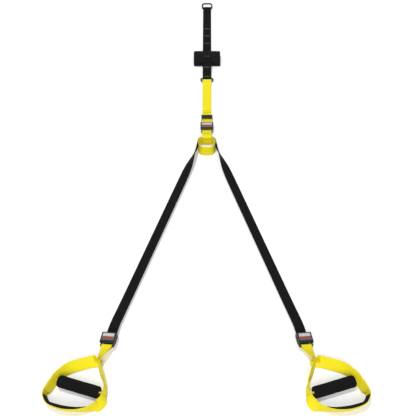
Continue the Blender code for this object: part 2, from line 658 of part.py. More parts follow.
def cam_lever(name):
    """A crowned cap with side skirts over a toothed cam, bored for the pin, with a label recess."""
    under = BUCKLE_HEIGHT + LEVER_GAP
    top = under + LEVER_THICK
    cap = [(LEVER_FRONT, under), (LEVER_FRONT, top - LEVER_CROWN), (LEVER_FRONT - LEVER_CROWN, top),
           (-LEVER_BACK + LIP_LENGTH, top), (-LEVER_BACK + LIP_LENGTH / 2, top + LEVER_CROWN / 2),
           (-LEVER_BACK + LEVER_CROWN, top), (-LEVER_BACK, top - LEVER_CROWN), (-LEVER_BACK, under)]
    half = LEVER_WIDTH / 2
    lever = prism(name, cap, -half, half, ZINC)
    drop = under - SKIRT_DROP
    skirt_front, skirt_back = LEVER_FRONT - LEVER_CROWN / 2, -LEVER_BACK + LEVER_CROWN / 2
    skirt = [(skirt_front, under + LEVER_GAP), (skirt_back, under + LEVER_GAP),
             (skirt_back, drop + SKIRT_DROP / 2), (-LEVER_BACK / 2, drop),
             (LEVER_FRONT - 2 * LEVER_CROWN, drop), (skirt_front, drop + 2 * LEVER_CROWN)]
    flush = SKIRT_THICK / 20
    for low in (-half + flush, half - SKIRT_THICK):
        side = prism("skirt", skirt, low, low + SKIRT_THICK - flush, ZINC)
        combine(lever, side, "UNION")
    cam_half = BUCKLE_WIDTH / 2 - BUCKLE_WALL - CAM_SIDE_GAP
    combine(lever, prism("cam", cam_outline(), -cam_half, cam_half, ZINC), "UNION")
    pin = (PIN_FORWARD, PIN_HEIGHT)
    hole = wire("hole", [(-LEVER_WIDTH, *pin), (0, *pin), (LEVER_WIDTH, *pin)],
                PIN_RADIUS + PIN_CLEARANCE, 16, ZINC)
    combine(lever, hole, "DIFFERENCE")
    slot_half = SPRING_PITCH * SPRING_TURNS / 2 + SPRING_WIRE / 2 + SPRING_SLOT_ROOM
    r = SPRING_SLOT_RADIUS
    slot = [(PIN_FORWARD + y, PIN_HEIGHT + z) for y, z in
            [tuple(p) for p in arc((0, 0), r, 0.5 * math.pi, 1.5 * math.pi, 8)] + [(3 * r, -r), (3 * r, r)]]
    combine(lever, prism("slot", slot, -slot_half, slot_half, ZINC), "DIFFERENCE")
    low, high = label_span()
    wide = LABEL_WIDTH / 2 + LABEL_GAP
    floor = top + LABEL_PROUD - LABEL_THICK - LABEL_GAP
    recess = box("recess", (-wide, low - LABEL_GAP, floor), (wide, high + LABEL_GAP, 2 * top), ZINC)
    combine(lever, recess, "DIFFERENCE")
    return lever


def label_span():
    """Where the label plate starts and ends along the lever."""
    high = LEVER_FRONT - 2 * LEVER_CROWN
    return high - LABEL_LENGTH, high


def label_plate(name):
    """A thin bare plate let into the lever's top."""
    low, high = label_span()
    top = BUCKLE_HEIGHT + LEVER_GAP + LEVER_THICK + LABEL_PROUD
    half = LABEL_WIDTH / 2
    return box(name, (-half, low, top - LABEL_THICK), (half, high, top), LABEL, LABEL_THICK / 4, 1)


def torsion_spring(name):
    """A close coil round the pin: the turns advance along X at a steady pitch."""
    radius = PIN_RADIUS + SPRING_GAP + SPRING_WIRE / 2
    turns = np.linspace(0, SPRING_TURNS, SPRING_TURNS * SPRING_POINTS_PER_TURN + 1)
    angle = turns * 2 * math.pi
    x = (turns - SPRING_TURNS / 2) * SPRING_PITCH
    path = np.column_stack([x, PIN_FORWARD + radius * np.cos(angle), PIN_HEIGHT + radius * np.sin(angle)])
    return wire(name, path, SPRING_WIRE / 2, SPRING_SIDES, SPRING_STEEL)


def cam_buckle(prefix, place, nose):
    """All pieces of one buckle, modelled flat and then put in place on an empty."""
    frame = buckle_frame(prefix + "_buckle_frame", nose)
    lever = cam_lever(prefix + "_cam_lever")
    label = label_plate(prefix + "_lever_label")
    pin_path = [(x, PIN_FORWARD, PIN_HEIGHT) for x in (-LEVER_WIDTH / 2, 0, LEVER_WIDTH / 2)]
    pin = wire(prefix + "_cam_pin", pin_path, PIN_RADIUS, 12, STEEL)
    spring = torsion_spring(prefix + "_cam_spring")
    holder = bpy.data.objects.new(prefix + "_buckle_place", None)
    holder.matrix_world = place
    bpy.context.scene.collection.objects.link(holder)
    for item in (frame, lever, label, pin, spring):
        set_origin(item, (0, PIN_FORWARD, PIN_HEIGHT))
        item.parent = holder
    return holder


def yoke_strap():
    """A sewn loop of webbing: round the top buckle's bar, over and under the locking loop's wall."""
    bar = (TOP_BAR_Y, BAR_HEIGHT)
    thick = WEBBING_THICK
    inner = LOOP_WALL_Y - PLY - YOKE_ROOM
    turn = thick / 2 + YOKE_ROOM
    floor = thick / 2
    crest = YOKE_LIFT + WEBBING_WIDTH + PLY_GAP + thick / 2
    join = LOOP_WALL_Y + YOKE_LENGTH * 0.42
    over_tail = floor + PLY + PLY_GAP
    tail_end = TOP_BAR_Y - TAIL_LENGTH
    under = [(join, floor), ((join + LOOP_WALL_Y) / 2, floor), (inner + 2 * turn, floor)]
    low_turn = arc((inner + turn, floor + turn), turn, -0.5 * math.pi, -math.pi, 4)
    high_turn = arc((inner + turn, crest - turn), turn, math.pi, 0.5 * math.pi, 4)
    level_end = LOOP_WALL_Y + PLY + 2 * thick
    slope_end = (TOP_BAR_Y, BAR_HEIGHT + BAR_WRAP)
    fall = [(inner + 2 * turn, crest), (level_end, crest)]
    fall += [(level_end + (slope_end[0] - level_end) * along, crest + (slope_end[1] - crest) * drop)
             for along, drop in YOKE_FALL_SHARES]
    back = smooth_rows([(TOP_BAR_Y - thick, BAR_HEIGHT - BAR_WRAP), ((TOP_BAR_Y + tail_end) / 2, over_tail),
                        (tail_end - thick, over_tail), ((tail_end + join) / 2, (over_tail + floor) / 2),
                        (join + thick / 4, floor)], FLAT_STEPS)
    rows = np.vstack([smooth_rows(under, FLAT_STEPS), low_turn, high_turn,
                      smooth_rows(fall, FLAT_STEPS)[:-1],
                      arc(bar, BAR_WRAP, 0.5 * math.pi, -0.5 * math.pi, 8), back])
    return band("yoke_strap", in_long_plane(rows), (1, 0, 0), YELLOW_WEBBING)


def lift_at(y):
    """How far the standing webbing is lifted off the floor by the yoke's lower ply."""
    near = LOOP_WALL_Y - LOOP_DEPTH
    return YOKE_LIFT * ease((y - near) / LOOP_DEPTH)


def standing(rows):
    """Plan rows as centres of webbing that stands on its edge."""
    rows = np.array(rows, float)
    return np.column_stack([rows, HALF + lift_at(rows[:, 1])])


def loop_plan():
    """Locking loop in plan: straight walls joined by quarter circles, from its far wall's middle."""
    near = LOOP_WALL_Y - LOOP_DEPTH
    half = LOOP_HALF_WIDTH
    far_r, near_r = LOOP_FAR_CORNER, LOOP_NEAR_CORNER
    open_end = PLY_GAP
    wall = np.linspace(LOOP_WALL_Y - far_r, near + near_r, LOOP_WALL_STEPS + 1)[1:-1]
    rows = [np.array([(-open_end, LOOP_WALL_Y)])]
    rows += [arc((-half + far_r, LOOP_WALL_Y - far_r), far_r, 0.5 * math.pi, math.pi, 6)]
    rows += [np.array([(-half, y) for y in wall])]
    rows += [arc((-half + near_r, near + near_r), near_r, math.pi, 1.5 * math.pi, 6)]
    rows += [arc((half - near_r, near + near_r), near_r, 1.5 * math.pi, 2 * math.pi, 6)]
    rows += [np.array([(half, y) for y in wall[::-1]])]
    rows += [arc((half - far_r, LOOP_WALL_Y - far_r), far_r, 0, 0.5 * math.pi, 6)]
    rows += [np.array([(open_end, LOOP_WALL_Y)])]
    return np.vstack(rows)


def locking_loop():
    """A rounded loop of webbing on its edge: upright at its far wall, its top leaning in elsewhere."""
    plan = loop_plan()
    share = (plan[:, 1] - (LOOP_WALL_Y - LOOP_DEPTH)) / LOOP_DEPTH
    lean = (LOOP_LEAN * (1 - ease(share / LOOP_LEAN_END_SHARE)))[:, None]
    travel = directions(plan)
    inward = np.column_stack([-travel[:, 1], travel[:, 0], np.zeros(len(plan))])
    across = inward * np.sin(lean) + np.array((0.0, 0.0, 1.0)) * np.cos(lean)
    foot = np.column_stack([plan, lift_at(plan[:, 1])]) + inward * np.sin(lean) * WEBBING_THICK / 2
    path = foot + across * HALF
    path[:, 2] += np.sin(lean[:, 0]) * WEBBING_THICK / 2
    return band("locking_loop", path, across, YELLOW_WEBBING)


def bridge_plan():
    """The main strap behind the locking loop, one ply outside it, from one leg pivot to the other."""
    radius = LOOP_FAR_CORNER + PLY
    y = LOOP_WALL_Y - LOOP_FAR_CORNER
    x = LOOP_HALF_WIDTH - LOOP_FAR_CORNER
    left = arc((-x, y), radius, math.pi, 0.5 * math.pi, 6)
    right = arc((x, y), radius, 0.5 * math.pi, 0, 6)
    foot = PIVOT_Y + PIVOT_GAP
    return np.vstack([[(-PIVOT_OUT, foot)], left, right, [(PIVOT_OUT, foot)]])


def main_strap_bridge():
    """The stretch of black webbing that the legs hang from, standing behind the locking loop."""
    return band("main_strap_bridge", standing(bridge_plan()), (0, 0, 1), BLACK_WEBBING)


def roll_at(share):
    """How far the leg's band is turned from lying flat, with its inner edge up."""
    curve = smooth_rows(LEG_ROLL_SHARES, 20)
    return UPRIGHT * np.interp(share, curve[:, 0], curve[:, 1])


def buckle_line_height():
    """Height of the strap's centre where it runs through the rolled leg buckle."""
    return BUCKLE_WIDTH / 2 * math.sin(BUCKLE_ROLL) + STRAP_HEIGHT * math.cos(BUCKLE_ROLL)


def rolled(inward, roll):
    """The band's direction across it, inner edge up, and out of its upper face."""
    up = np.array((0.0, 0.0, 1.0))
    across = inward * math.cos(roll) + up * math.sin(roll)
    out = up * math.cos(roll) - inward * math.sin(roll)
    return across, out


def leg_line(side, reach):
    """Plan point at a distance down the leg: straight, then a parabola into the buckle's direction."""
    down = leg_way(side)[0]
    buckle_down = leg_way(side, LEG_LENGTH)[0]
    corner = LEG_LENGTH - BEND_BEFORE_BUCKLE
    past = reach - corner
    held = min(max(past, -BEND_HALF), BEND_HALF)
    before = min(past + BEND_HALF, 0.0) - (BEND_HALF - held) ** 2 / (4 * BEND_HALF)
    after = max(past - BEND_HALF, 0.0) + (BEND_HALF + held) ** 2 / (4 * BEND_HALF)
    return np.array((side * PIVOT_OUT, PIVOT_Y, 0.0)) + down * (corner + before) + buckle_down * after


def leg_strap(side, name):
    """From upright at the pivot the webbing turns down on its outer edge and runs into the buckle."""
    entry = LEG_LENGTH - BUCKLE_LEAD
    rest = WEBBING_THICK / 2 - STRAP_HEIGHT
    stops = [PIVOT_GAP, 0.02 * LEG_LENGTH]
    stops += [LEG_LENGTH * share for share in np.linspace(0.05, 0.28, 12)]
    stops += [LEG_LENGTH * share for share in np.linspace(0.34, 0.9, 10)]
    stops += [LEG_LENGTH - BEND_BEFORE_BUCKLE + BEND_HALF * share for share in (-1.0, -0.5, 0.0, 0.5)]
    stops += [entry, LEG_LENGTH - WALL_END, LEG_LENGTH, LEG_LENGTH + BASE_END]
    stops += [LEG_LENGTH + BASE_END + TAIL_DROP, LEG_LENGTH + BAR_BACK + TAIL_LENGTH]
    path, across = [], []
    for reach in stops:
        roll = float(roll_at(reach / LEG_LENGTH))
        over, out = rolled(leg_way(side, reach)[1], roll)
        lying = HALF * math.sin(roll) + WEBBING_THICK / 2 * math.cos(roll)
        lying = lying + lift_at(PIVOT_Y) * (1 - ease(reach / LEG_LENGTH / 0.2))
        blend = float(ease((reach / LEG_LENGTH - 0.8) / (1 - 0.8 - WALL_END / LEG_LENGTH)))
        height = lying + (buckle_line_height() - lying) * blend
        point = leg_line(side, reach) + np.array((0.0, 0.0, height))
        drop = rest * float(ease((reach - LEG_LENGTH - BASE_END) / TAIL_DROP))
        path.append(point + out * drop)
        across.append(over)
    strap = band(name, path, np.array(across), BLACK_WEBBING)
    return set_origin(strap, leg_line(side, 0.0))


def leg_buckle_place(side):
    """The rolled leg buckle's own axes and place: across, back up the leg, and out of its top."""
    down, inward = leg_way(side, LEG_LENGTH)
    out = rolled(inward, BUCKLE_ROLL)[1]
    middle = leg_line(side, LEG_LENGTH) + np.array((0.0, 0.0, buckle_line_height()))
    middle = middle - out * STRAP_HEIGHT
    back = -down
    right = np.cross(back, out)
    return Matrix([[right[k], back[k], out[k], middle[k]] for k in range(3)] + [[0, 0, 0, 1]])


def sling_bar(side):
    """Centre of the leg buckle's fixed bar."""
    out = rolled(leg_way(side, LEG_LENGTH)[1], BUCKLE_ROLL)[1]
    middle = leg_line(side, LEG_LENGTH + BAR_BACK) + np.array((0.0, 0.0, buckle_line_height()))
    return middle + out * (BAR_HEIGHT - STRAP_HEIGHT)


def arm_rows(side, shares, before):
    """Centres and directions across one arm, with the edge towards the leg's inner side raised."""
    spots = np.array([handle_place(side, a, d, 0.0, PIVOT_Y) for a, d, roll, lift in shares])
    rolls = np.radians([roll for a, d, roll, lift in shares])[:, None]
    lifts = np.array([lift for a, d, roll, lift in shares])[:, None] * WEBBING_WIDTH
    flat = np.vstack([before * np.array((1.0, 1.0, 0.0)), spots])
    level = side * np.cross(directions(flat)[1:], (0.0, 0.0, 1.0))
    across = level * np.cos(rolls) + np.array((0.0, 0.0, 1.0)) * np.sin(rolls)
    spots[:, 2:] = lifts + HALF * np.abs(np.sin(rolls)) + WEBBING_THICK / 2 * np.abs(np.cos(rolls))
    return list(zip(spots, across))


def sling_rows(side):
    """The two sewn plies between the buckle's bar and the split: (centre, across) rows of each."""
    bar = sling_bar(side)
    inward = leg_way(side, LEG_LENGTH)[1]
    split = handle_place(side, *SPLIT_SHARES, SPLIT_HEIGHT, PIVOT_Y)
    run = (split - bar)[:2] / np.linalg.norm((split - bar)[:2])
    square = side * np.array((run[1], -run[0], 0.0))
    upper, lower = [], []
    for share in SLING_SHARES:
        turned = float(ease((share - 0.15) / SLING_TURN_SHARE))
        level = inward * (1 - turned) + square * turned
        roll = BUCKLE_ROLL + (SPLIT_ROLL - BUCKLE_ROLL) * float(ease(share * 1.2 - 0.2))
        over, out = rolled(level / np.linalg.norm(level), roll)
        gap = BAR_WRAP + (PAIR_HALF + SEWN_ROOM - BAR_WRAP) * float(ease(share / SLING_TAPER_SHARE))
        spot = bar * (1 - share) + split * share
        upper.append((spot + out * gap, over))
        lower.append((spot - out * gap, over))
    return upper, lower


def hand_loop_strap(side, name):
    """One length: up the inner arm, round the buckle's bar, down the outer arm past the grip's end."""
    bar = sling_bar(side)
    down, inward = leg_way(side, LEG_LENGTH)
    over, out = rolled(inward, BUCKLE_ROLL)
    upper, lower = sling_rows(side)
    path, up, inside = cradle_path(side, PIVOT_Y)
    apart = WEBBING_THICK + TAIL_ROOM
    outer_tail = [(path[k] + inside[k] * apart, up[k]) for k in range(*OUTER_TAIL)]
    inner_tail = [(path[k] - inside[k] * apart, up[k]) for k in range(*INNER_TAIL, -1)]
    turn = [(bar + out * BAR_WRAP * math.cos(t) - down * BAR_WRAP * math.sin(t), over)
            for t in np.linspace(math.pi, 0, 9)[1:-1]]
    first = (lower + arm_rows(side, INNER_ARM_SHARES, lower[-1][0]) + inner_tail[:1])[::-1]
    last = upper + arm_rows(side, OUTER_ARM_SHARES, upper[-1][0]) + outer_tail[:1]
    rows = np.vstack([[(*p, *a) for p, a in inner_tail[:0:-1]],
                      smooth_rows([(*p, *a) for p, a in first], ARM_STEPS, 3, 2),
                      [(*p, *a) for p, a in turn],
                      smooth_rows([(*p, *a) for p, a in last], ARM_STEPS, 3, 2),
                      [(*p, *a) for p, a in outer_tail[1:]]])
    strap = band(name, rows[:, :3], rows[:, 3:], YELLOW_WEBBING, columns=HANDLE_COLUMNS)
    return set_origin(strap, bar)


def foot_cradle_strap(side, name):
    """The band under the foot: outside the hand loop's end, round below the grip and up inside."""
    path, up = cradle_path(side, PIVOT_Y)[:2]
    strap = band(name, path, up, YELLOW_WEBBING, columns=HANDLE_COLUMNS)
    return set_origin(strap, sling_bar(side))


def cradle_pad(side, name):
    """Soft lining on the cradle's inner face, thick in the middle and thin at both ends."""
    path, up = cradle_path(side, PIVOT_Y)[:2]
    share = np.linspace(0, 1, PAD_ENDS - PAD_STARTS)
    swell = CRADLE_PAD_EDGE_SHARE + (1 - CRADLE_PAD_EDGE_SHARE) * np.sin(math.pi * share) ** 0.8
    near = WEBBING_THICK / 2 + SEWN_ROOM * 2
    far = near + CRADLE_PAD_THICK * swell
    low, high = (near, far) if side > 0 else (-far, -near)
    path = path[PAD_STARTS:PAD_ENDS]
    pad = band(name, path, up[PAD_STARTS:PAD_ENDS], PAD_FABRIC, CRADLE_PAD_HEIGHT / 2, low, high,
               columns=HANDLE_COLUMNS)
    return set_origin(pad, sling_bar(side))


def grip(side, prefix):
    """A foam sleeve on a plastic tube, turned round the grip's axis."""
    half = GRIP_LENGTH / 2
    r, bore = GRIP_DIAMETER / 2, TUBE_DIAMETER / 2 + TUBE_GAP
    right = arc((half - GRIP_END_ROUND, r - GRIP_END_ROUND), GRIP_END_ROUND, 0, 0.5 * math.pi, 4)
    left = arc((-half + GRIP_END_ROUND, r - GRIP_END_ROUND), GRIP_END_ROUND, 0.5 * math.pi, math.pi, 4)
    outline = [(half, bore), *map(tuple, right), *map(tuple, left), (-half, bore)]
    foam = turned(prefix + "_grip_foam", outline, GRIP_STEPS, FOAM)
    end = half + TUBE_PROUD
    r = TUBE_DIAMETER / 2
    inner = r - TUBE_WALL
    wall = [(end, inner), (end, r), (-end, r), (-end, inner)]
    tube = turned(prefix + "_grip_tube", wall, GRIP_STEPS, PLASTIC)
    along = handle_way(side)[0]
    middle = handle_place(side, 0.0, 0.0, GRIP_DIAMETER / 2, PIVOT_Y)
    for item in (foam, tube):
        item.rotation_euler = (0, 0, math.atan2(along[1], along[0]))
        item.location = middle
    return foam, tube


def core_reach(side, way, rows, cover):
    """How far the core strap runs from the grip's middle before its end meets a band's inner face."""
    down = handle_way(side)[1]
    middle = handle_place(side, 0.0, 0.0, GRIP_DIAMETER / 2, PIVOT_Y)
    path, up, inside = cradle_path(side, PIVOT_Y)
    path, up, inside = path[rows], up[rows], inside[rows]
    depth = (path - middle) @ down
    nearest = int(np.argmin(np.abs(depth)))
    spot, face = path[nearest], inside[nearest]
    spot = spot + face * (cover + CORE_ROOM + WEBBING_THICK / 2)
    reaches = []
    for height in (-CORE_WIDTH / 2, CORE_WIDTH / 2):
        for drop in (-CORE_THICK / 2, CORE_THICK / 2):
            corner = middle + down * drop + np.array((0.0, 0.0, height))
            reaches.append(np.dot(spot - corner, face) / np.dot(way, face))
    return min(reaches)


def grip_core_strap(side, name):
    """Folded webbing straight through the tube, its ends sewn to the insides of the loop."""
    along = handle_way(side)[0]
    middle = handle_place(side, 0.0, 0.0, GRIP_DIAMETER / 2, PIVOT_Y)
    inner = core_reach(side, -along, CORE_INNER_ROWS, 0.0)
    outer = core_reach(side, along, CORE_OUTER_ROWS, WEBBING_THICK + TAIL_ROOM)
    path = [middle - along * inner, middle, middle + along * outer]
    strap = band(name, path, (0, 0, 1), YELLOW_WEBBING, CORE_WIDTH / 2, -CORE_THICK / 2, CORE_THICK / 2)
    return set_origin(strap, sling_bar(side))


def main():
    for item in list(bpy.data.objects):
        bpy.data.objects.remove(item)
    d_ring("anchor_ring", ANCHOR_BAR_Y, 1, ANCHOR_RING_ROOM, ANCHOR_RING_REACH, ANCHOR_RING_CORNER,
           RING_RADIUS + PLY_GAP)
    d_ring("link_ring", LINK_BAR_Y, -1, LINK_RING_ROOM, LINK_RING_REACH, LINK_RING_CORNER, RING_HEIGHT)
    anchor_strap()
    door_pad()
    extension_strap()
    cam_buckle("top", Matrix.Translation((0, TOP_BUCKLE_Y, 0)), True)
    yoke_strap()
    locking_loop()
    main_strap_bridge()
    for side, word in ((-1, "left"), (1, "right")):
        leg_strap(side, word + "_leg_strap")
        cam_buckle(word, leg_buckle_place(side), False)
        hand_loop_strap(side, word + "_hand_loop_strap")
        foot_cradle_strap(side, word + "_foot_cradle_strap")
        cradle_pad(side, word + "_cradle_pad")
        grip(side, word)
        grip_core_strap(side, word + "_grip_core_strap")


main()
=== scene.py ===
"""A strap trainer laid out on a studio floor: its webbing, sewing, hardware, handles and stage.

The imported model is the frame. Each operator below makes one group of pieces on it, and main() calls
them in order.
"""
import math

import bpy
import numpy as np
from mathutils import Matrix, Vector


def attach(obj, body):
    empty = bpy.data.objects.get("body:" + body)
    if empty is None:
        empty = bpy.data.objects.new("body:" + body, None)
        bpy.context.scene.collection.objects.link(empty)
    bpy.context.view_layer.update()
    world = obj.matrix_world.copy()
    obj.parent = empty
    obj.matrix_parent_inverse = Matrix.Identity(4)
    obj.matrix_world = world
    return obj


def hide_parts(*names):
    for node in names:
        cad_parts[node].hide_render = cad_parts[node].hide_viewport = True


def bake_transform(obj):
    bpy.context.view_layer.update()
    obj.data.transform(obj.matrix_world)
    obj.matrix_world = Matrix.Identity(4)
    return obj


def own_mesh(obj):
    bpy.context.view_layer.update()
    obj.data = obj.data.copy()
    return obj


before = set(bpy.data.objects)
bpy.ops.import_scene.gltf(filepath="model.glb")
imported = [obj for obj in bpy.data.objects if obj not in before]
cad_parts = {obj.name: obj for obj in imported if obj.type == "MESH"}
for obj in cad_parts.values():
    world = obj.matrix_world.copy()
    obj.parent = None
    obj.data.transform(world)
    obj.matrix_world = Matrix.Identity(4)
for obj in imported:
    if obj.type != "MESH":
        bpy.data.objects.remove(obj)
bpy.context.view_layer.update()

bl_info = {
    "name": "Strap Trainer",
    "version": (1, 0, 0),
    "blender": (4, 5, 0),
    "location": "3D View > Sidebar > Trainer",
    "description": "Webbing, hardware, handles and stage of a strap trainer laid flat",
    "category": "Object",
}

SIDES = ((-1, "left"), (1, "right"))

# Webbing, in metres as all sizes are
WEBBING_WIDTH = 0.038
WEBBING_THICK = 0.0022
PLY_GAP = 0.0003
BAR_CLEARANCE = 0.0003
FLAT_STEPS = 3
HALF = WEBBING_WIDTH / 2
PLY = WEBBING_THICK + PLY_GAP
PAIR_HALF = PLY / 2
PAIR_HEIGHT = WEBBING_THICK + PLY_GAP / 2

# Rings
RING_WIRE = 0.006
RING_BAR_CORNER = 0.0045
ANCHOR_RING_ROOM = 0.0006
ANCHOR_RING_REACH = 0.037
ANCHOR_RING_CORNER = 0.011
LINK_RING_ROOM = 0.004
LINK_RING_REACH = 0.018
LINK_RING_CORNER = 0.0125
RING_RADIUS = RING_WIRE / 2
RING_WRAP = RING_RADIUS + BAR_CLEARANCE + WEBBING_THICK / 2
RING_HEIGHT = WEBBING_THICK / 2 + RING_WRAP

# Anchor strap and door pad
ANCHOR_LENGTH = 0.4745
FOLD_TAPER = 0.032
PAD_WIDTH = 0.118
PAD_LENGTH = 0.073
PAD_HEIGHT = 0.026
PAD_FROM_LINK = 0.0815
PAD_ENTRY_SHARE = 0.36
SLIT_SHARE = 0.47
PAD_OUTSIDE_SHARE = 0.07
ANCHOR_LEAD_SHARE = 0.35
ANCHOR_FLAT_SHARES = (0.4, 0.7, 0.9, 1.0)
ANCHOR_REST_SHARES = (0.36, 0.16, -0.02)
ANCHOR_DROP_SHARES = ((0.78, 0.77), (0.55, 0.45), (0.3, 0.12))
CHANNEL_ROOM = 0.0004
CHANNEL_PAST = 0.012
STRAP_ON_PAD = 0.0006
STRAP_ON_PAD_HEIGHT = PAD_HEIGHT + STRAP_ON_PAD + PAIR_HEIGHT
PAD_EDGES_POWER, PAD_SIDE_POWER, PAD_RISE_POWER = 0.16, 0.30, 0.34
PUCKERS, PUCKER_DEPTH, PUCKER_AT, PUCKER_SPREAD = 26, 0.0003, 0.9, 0.08
PIPING_RADIUS, PIPING_CORNER, PIPING_UNDER_TOP, PIPING_OVER_FLOOR = 0.0012, 0.006, 0.0022, 0.0026
BINDING_RADIUS, BINDING_CORNER, BINDING_OUT, BINDING_HALF = 0.0010, 0.0022, 0.0018, 0.0047
BINDING_BACK, BINDING_RISE = 0.0030, 0.0008

# Extension strap, buckles and their plates
EXTENSION_LENGTH = 0.2785
SEAM_FROM_BUCKLE = 0.0815
LOOP_SLACK = 0.0006
FOLD_START_SHARE, FOLD_MIDDLE_SHARE = 1.2, 0.5
BUCKLE_WIDTH = 0.047
BUCKLE_HEIGHT = 0.016
BASE_END = 0.012
WALL_END = 0.018
BAR_BACK = 0.026
BAR_HEIGHT = 0.0095
BAR_RADIUS = 0.0025
BAR_WRAP = BAR_RADIUS + BAR_CLEARANCE + WEBBING_THICK / 2
BUCKLE_LEAD = 0.028
TAIL_DROP = 0.010
TAIL_LENGTH = 0.022
NOSE_END = 0.064
STRAP_LIFT = 0.0018
STRAP_HEIGHT = STRAP_LIFT + WEBBING_THICK / 2
LEVER_FRONT = 0.0165
LEVER_THICK = 0.003
LEVER_GAP = 0.0005
LEVER_CROWN = 0.0012
LABEL_LENGTH = 0.025
LABEL_WIDTH = 0.045
LABEL_THICK = 0.0012
LABEL_PROUD = 0.0004
LABEL_POWER = 0.12
LABEL_RIM_RINGS = ((1.0, -LABEL_THICK), (1.0, -0.0004), (0.992, -0.0001), (0.98, 0.0))
LABEL_FACE_SHARES = np.linspace(0.94, 0.06, 14)

# Yoke and locking loop
YOKE_LENGTH = 0.056
YOKE_ROOM = 0.0005
YOKE_JOIN_SHARE = 0.42
YOKE_FALL_SHARES = ((0.45, 0.52), (0.8, 0.9), (0.96, 1.0))
LOOP_DEPTH = 0.0594
LOOP_HALF_WIDTH = 0.0334
LOOP_FAR_CORNER = 0.018
LOOP_NEAR_CORNER = 0.022
LOOP_LEAN = math.radians(22)
LOOP_LEAN_END_SHARE = 0.66
LOOP_WALL_STEPS = 4
WALL_FROM_PIVOT = 0.0295

# Legs
PIVOT_OUT = 0.038
PIVOT_GAP = 0.0008
LEG_ANGLE = math.radians(19.55)
BUCKLE_ANGLE = math.radians(11.0)
LEG_LENGTH = 0.838
BEND_BEFORE_BUCKLE = 0.045
BEND_HALF = 0.02
LEG_STOP_SHARES = np.hstack([0.02, np.linspace(0.05, 0.28, 12), np.linspace(0.34, 0.9, 10)])
LEG_LIFT_END_SHARE = 0.2
LEG_BLEND_SHARE = 0.8
UPRIGHT = math.radians(90)
BUCKLE_ROLL_SHARE = 0.2
BUCKLE_ROLL = UPRIGHT * BUCKLE_ROLL_SHARE
LEG_ROLL_SHARES = ((0.0, 1.0), (0.03, 0.86), (0.07, 0.64), (0.10, 0.47), (0.14, 0.30), (0.2, 0.22),
                   (0.35, 0.21), (0.6, 0.21), (0.8, BUCKLE_ROLL_SHARE), (0.95, BUCKLE_ROLL_SHARE),
                   (1.06, BUCKLE_ROLL_SHARE))

# Handles: shares of the span along the grip, of the depth to either side, and degrees of roll or lean
SLING_LENGTH = 0.048
SLING_SHARES = (0.0, 0.15, 0.3, 0.48, 0.66, 0.82)
SLING_TURN_START = 0.15
SLING_TURN_SHARE = 0.5
SLING_ROLL_POWER = 0.9
SPLIT_HEIGHT = 0.0202
SPLIT_ROLL = math.radians(68)
SPLIT_SHARES = (-0.169, -1.007)
NECK_SHARES = (-0.190, -0.995)
SEWN_ROOM = 0.0003
TAIL_ROOM = 0.0010
HANDLE_SLANT = math.radians(15.9)
HANDLE_SPAN = 0.138
HAND_DEPTH = 0.098
CRADLE_DEPTH = 0.070
GRIP_LENGTH = 0.136
GRIP_DIAMETER = 0.038
TUBE_DIAMETER = 0.028
TUBE_WALL = 0.002
TUBE_GAP = 0.0003
CORE_THICK = 0.0044
CORE_WIDTH = 2 * math.sqrt((TUBE_DIAMETER / 2 - TUBE_WALL - TUBE_GAP) ** 2 - (CORE_THICK / 2) ** 2)
CORE_INNER_REACH = 0.0790173  # from the grip's middle to the cradle's inner band
CORE_OUTER_REACH = 0.0712983  # from the grip's middle to the hand loop's outer tail
GRIP_END_REACH = 0.009
GRIP_END_DROP = 0.0046
DENT_EDGE_SHARE = 0.6
DENT_WAVES, DENT_TURNS = (95, 40), (2, 3)  # per metre along the grip, and per turn round it
CRADLE_PAD_THICK = 0.010
CRADLE_PAD_EDGE_SHARE = 0.12
CRADLE_PAD_HEIGHT = 0.034
LINING_LENGTH_POWER, LINING_EDGE_POWER, LINING_FACE_POWER = 0.8, 0.35, 0.45
CRADLE_SHARES = ((0.608, 0.10, -26), (0.644, 0.40, -22), (0.672, 0.68, -10), (0.555, 1.000, -6),
                 (0.260, 1.105, -6), (-0.080, 1.005, -5), (-0.330, 0.815, 5), (-0.485, 0.625, 24),
                 (-0.572, 0.43, 50), (-0.608, 0.19, 30), (-0.600, -0.02, 8), (-0.578, -0.15, 2),
                 (-0.520, -0.31, 0))
CRADLE_STEPS = 6
PAD_STARTS, PAD_ENDS = 13, 38
OUTER_TAIL, INNER_TAIL = (0, 10), (-3, -15)
OUTER_ARM_SHARES = ((-0.184, -0.975, 122, 0.05), (-0.160, -0.952, 150, 0.03), (-0.118, -0.928, 157, 0.02),
                    (-0.050, -0.888, 158, 0.02), (0.020, -0.832, 158, 0.02), (0.096, -0.770, 158, 0.02),
                    (0.165, -0.710, 157, 0.02), (0.240, -0.640, 155, 0.02), (0.311, -0.573, 151, 0.02),
                    (0.375, -0.495, 144, 0.02), (0.430, -0.410, 135, 0.02), (0.478, -0.310, 127, 0.02),
                    (0.545, -0.175, 118, 0.03), (0.582, -0.05, 116, 0.04))
INNER_ARM_SHARES = ((-0.200, -0.930, 74, 0.03), (-0.225, -0.875, 74, 0.02), (-0.252, -0.820, 73, 0.01),
                    (-0.283, -0.761, 72, 0.0), (-0.330, -0.670, 71, 0.0), (-0.380, -0.578, 71, 0.0),
                    (-0.435, -0.490, 74, 0.0), (-0.490, -0.410, 79, 0.0), (-0.530, -0.340, 84, 0.0))
ARM_STEPS = 3

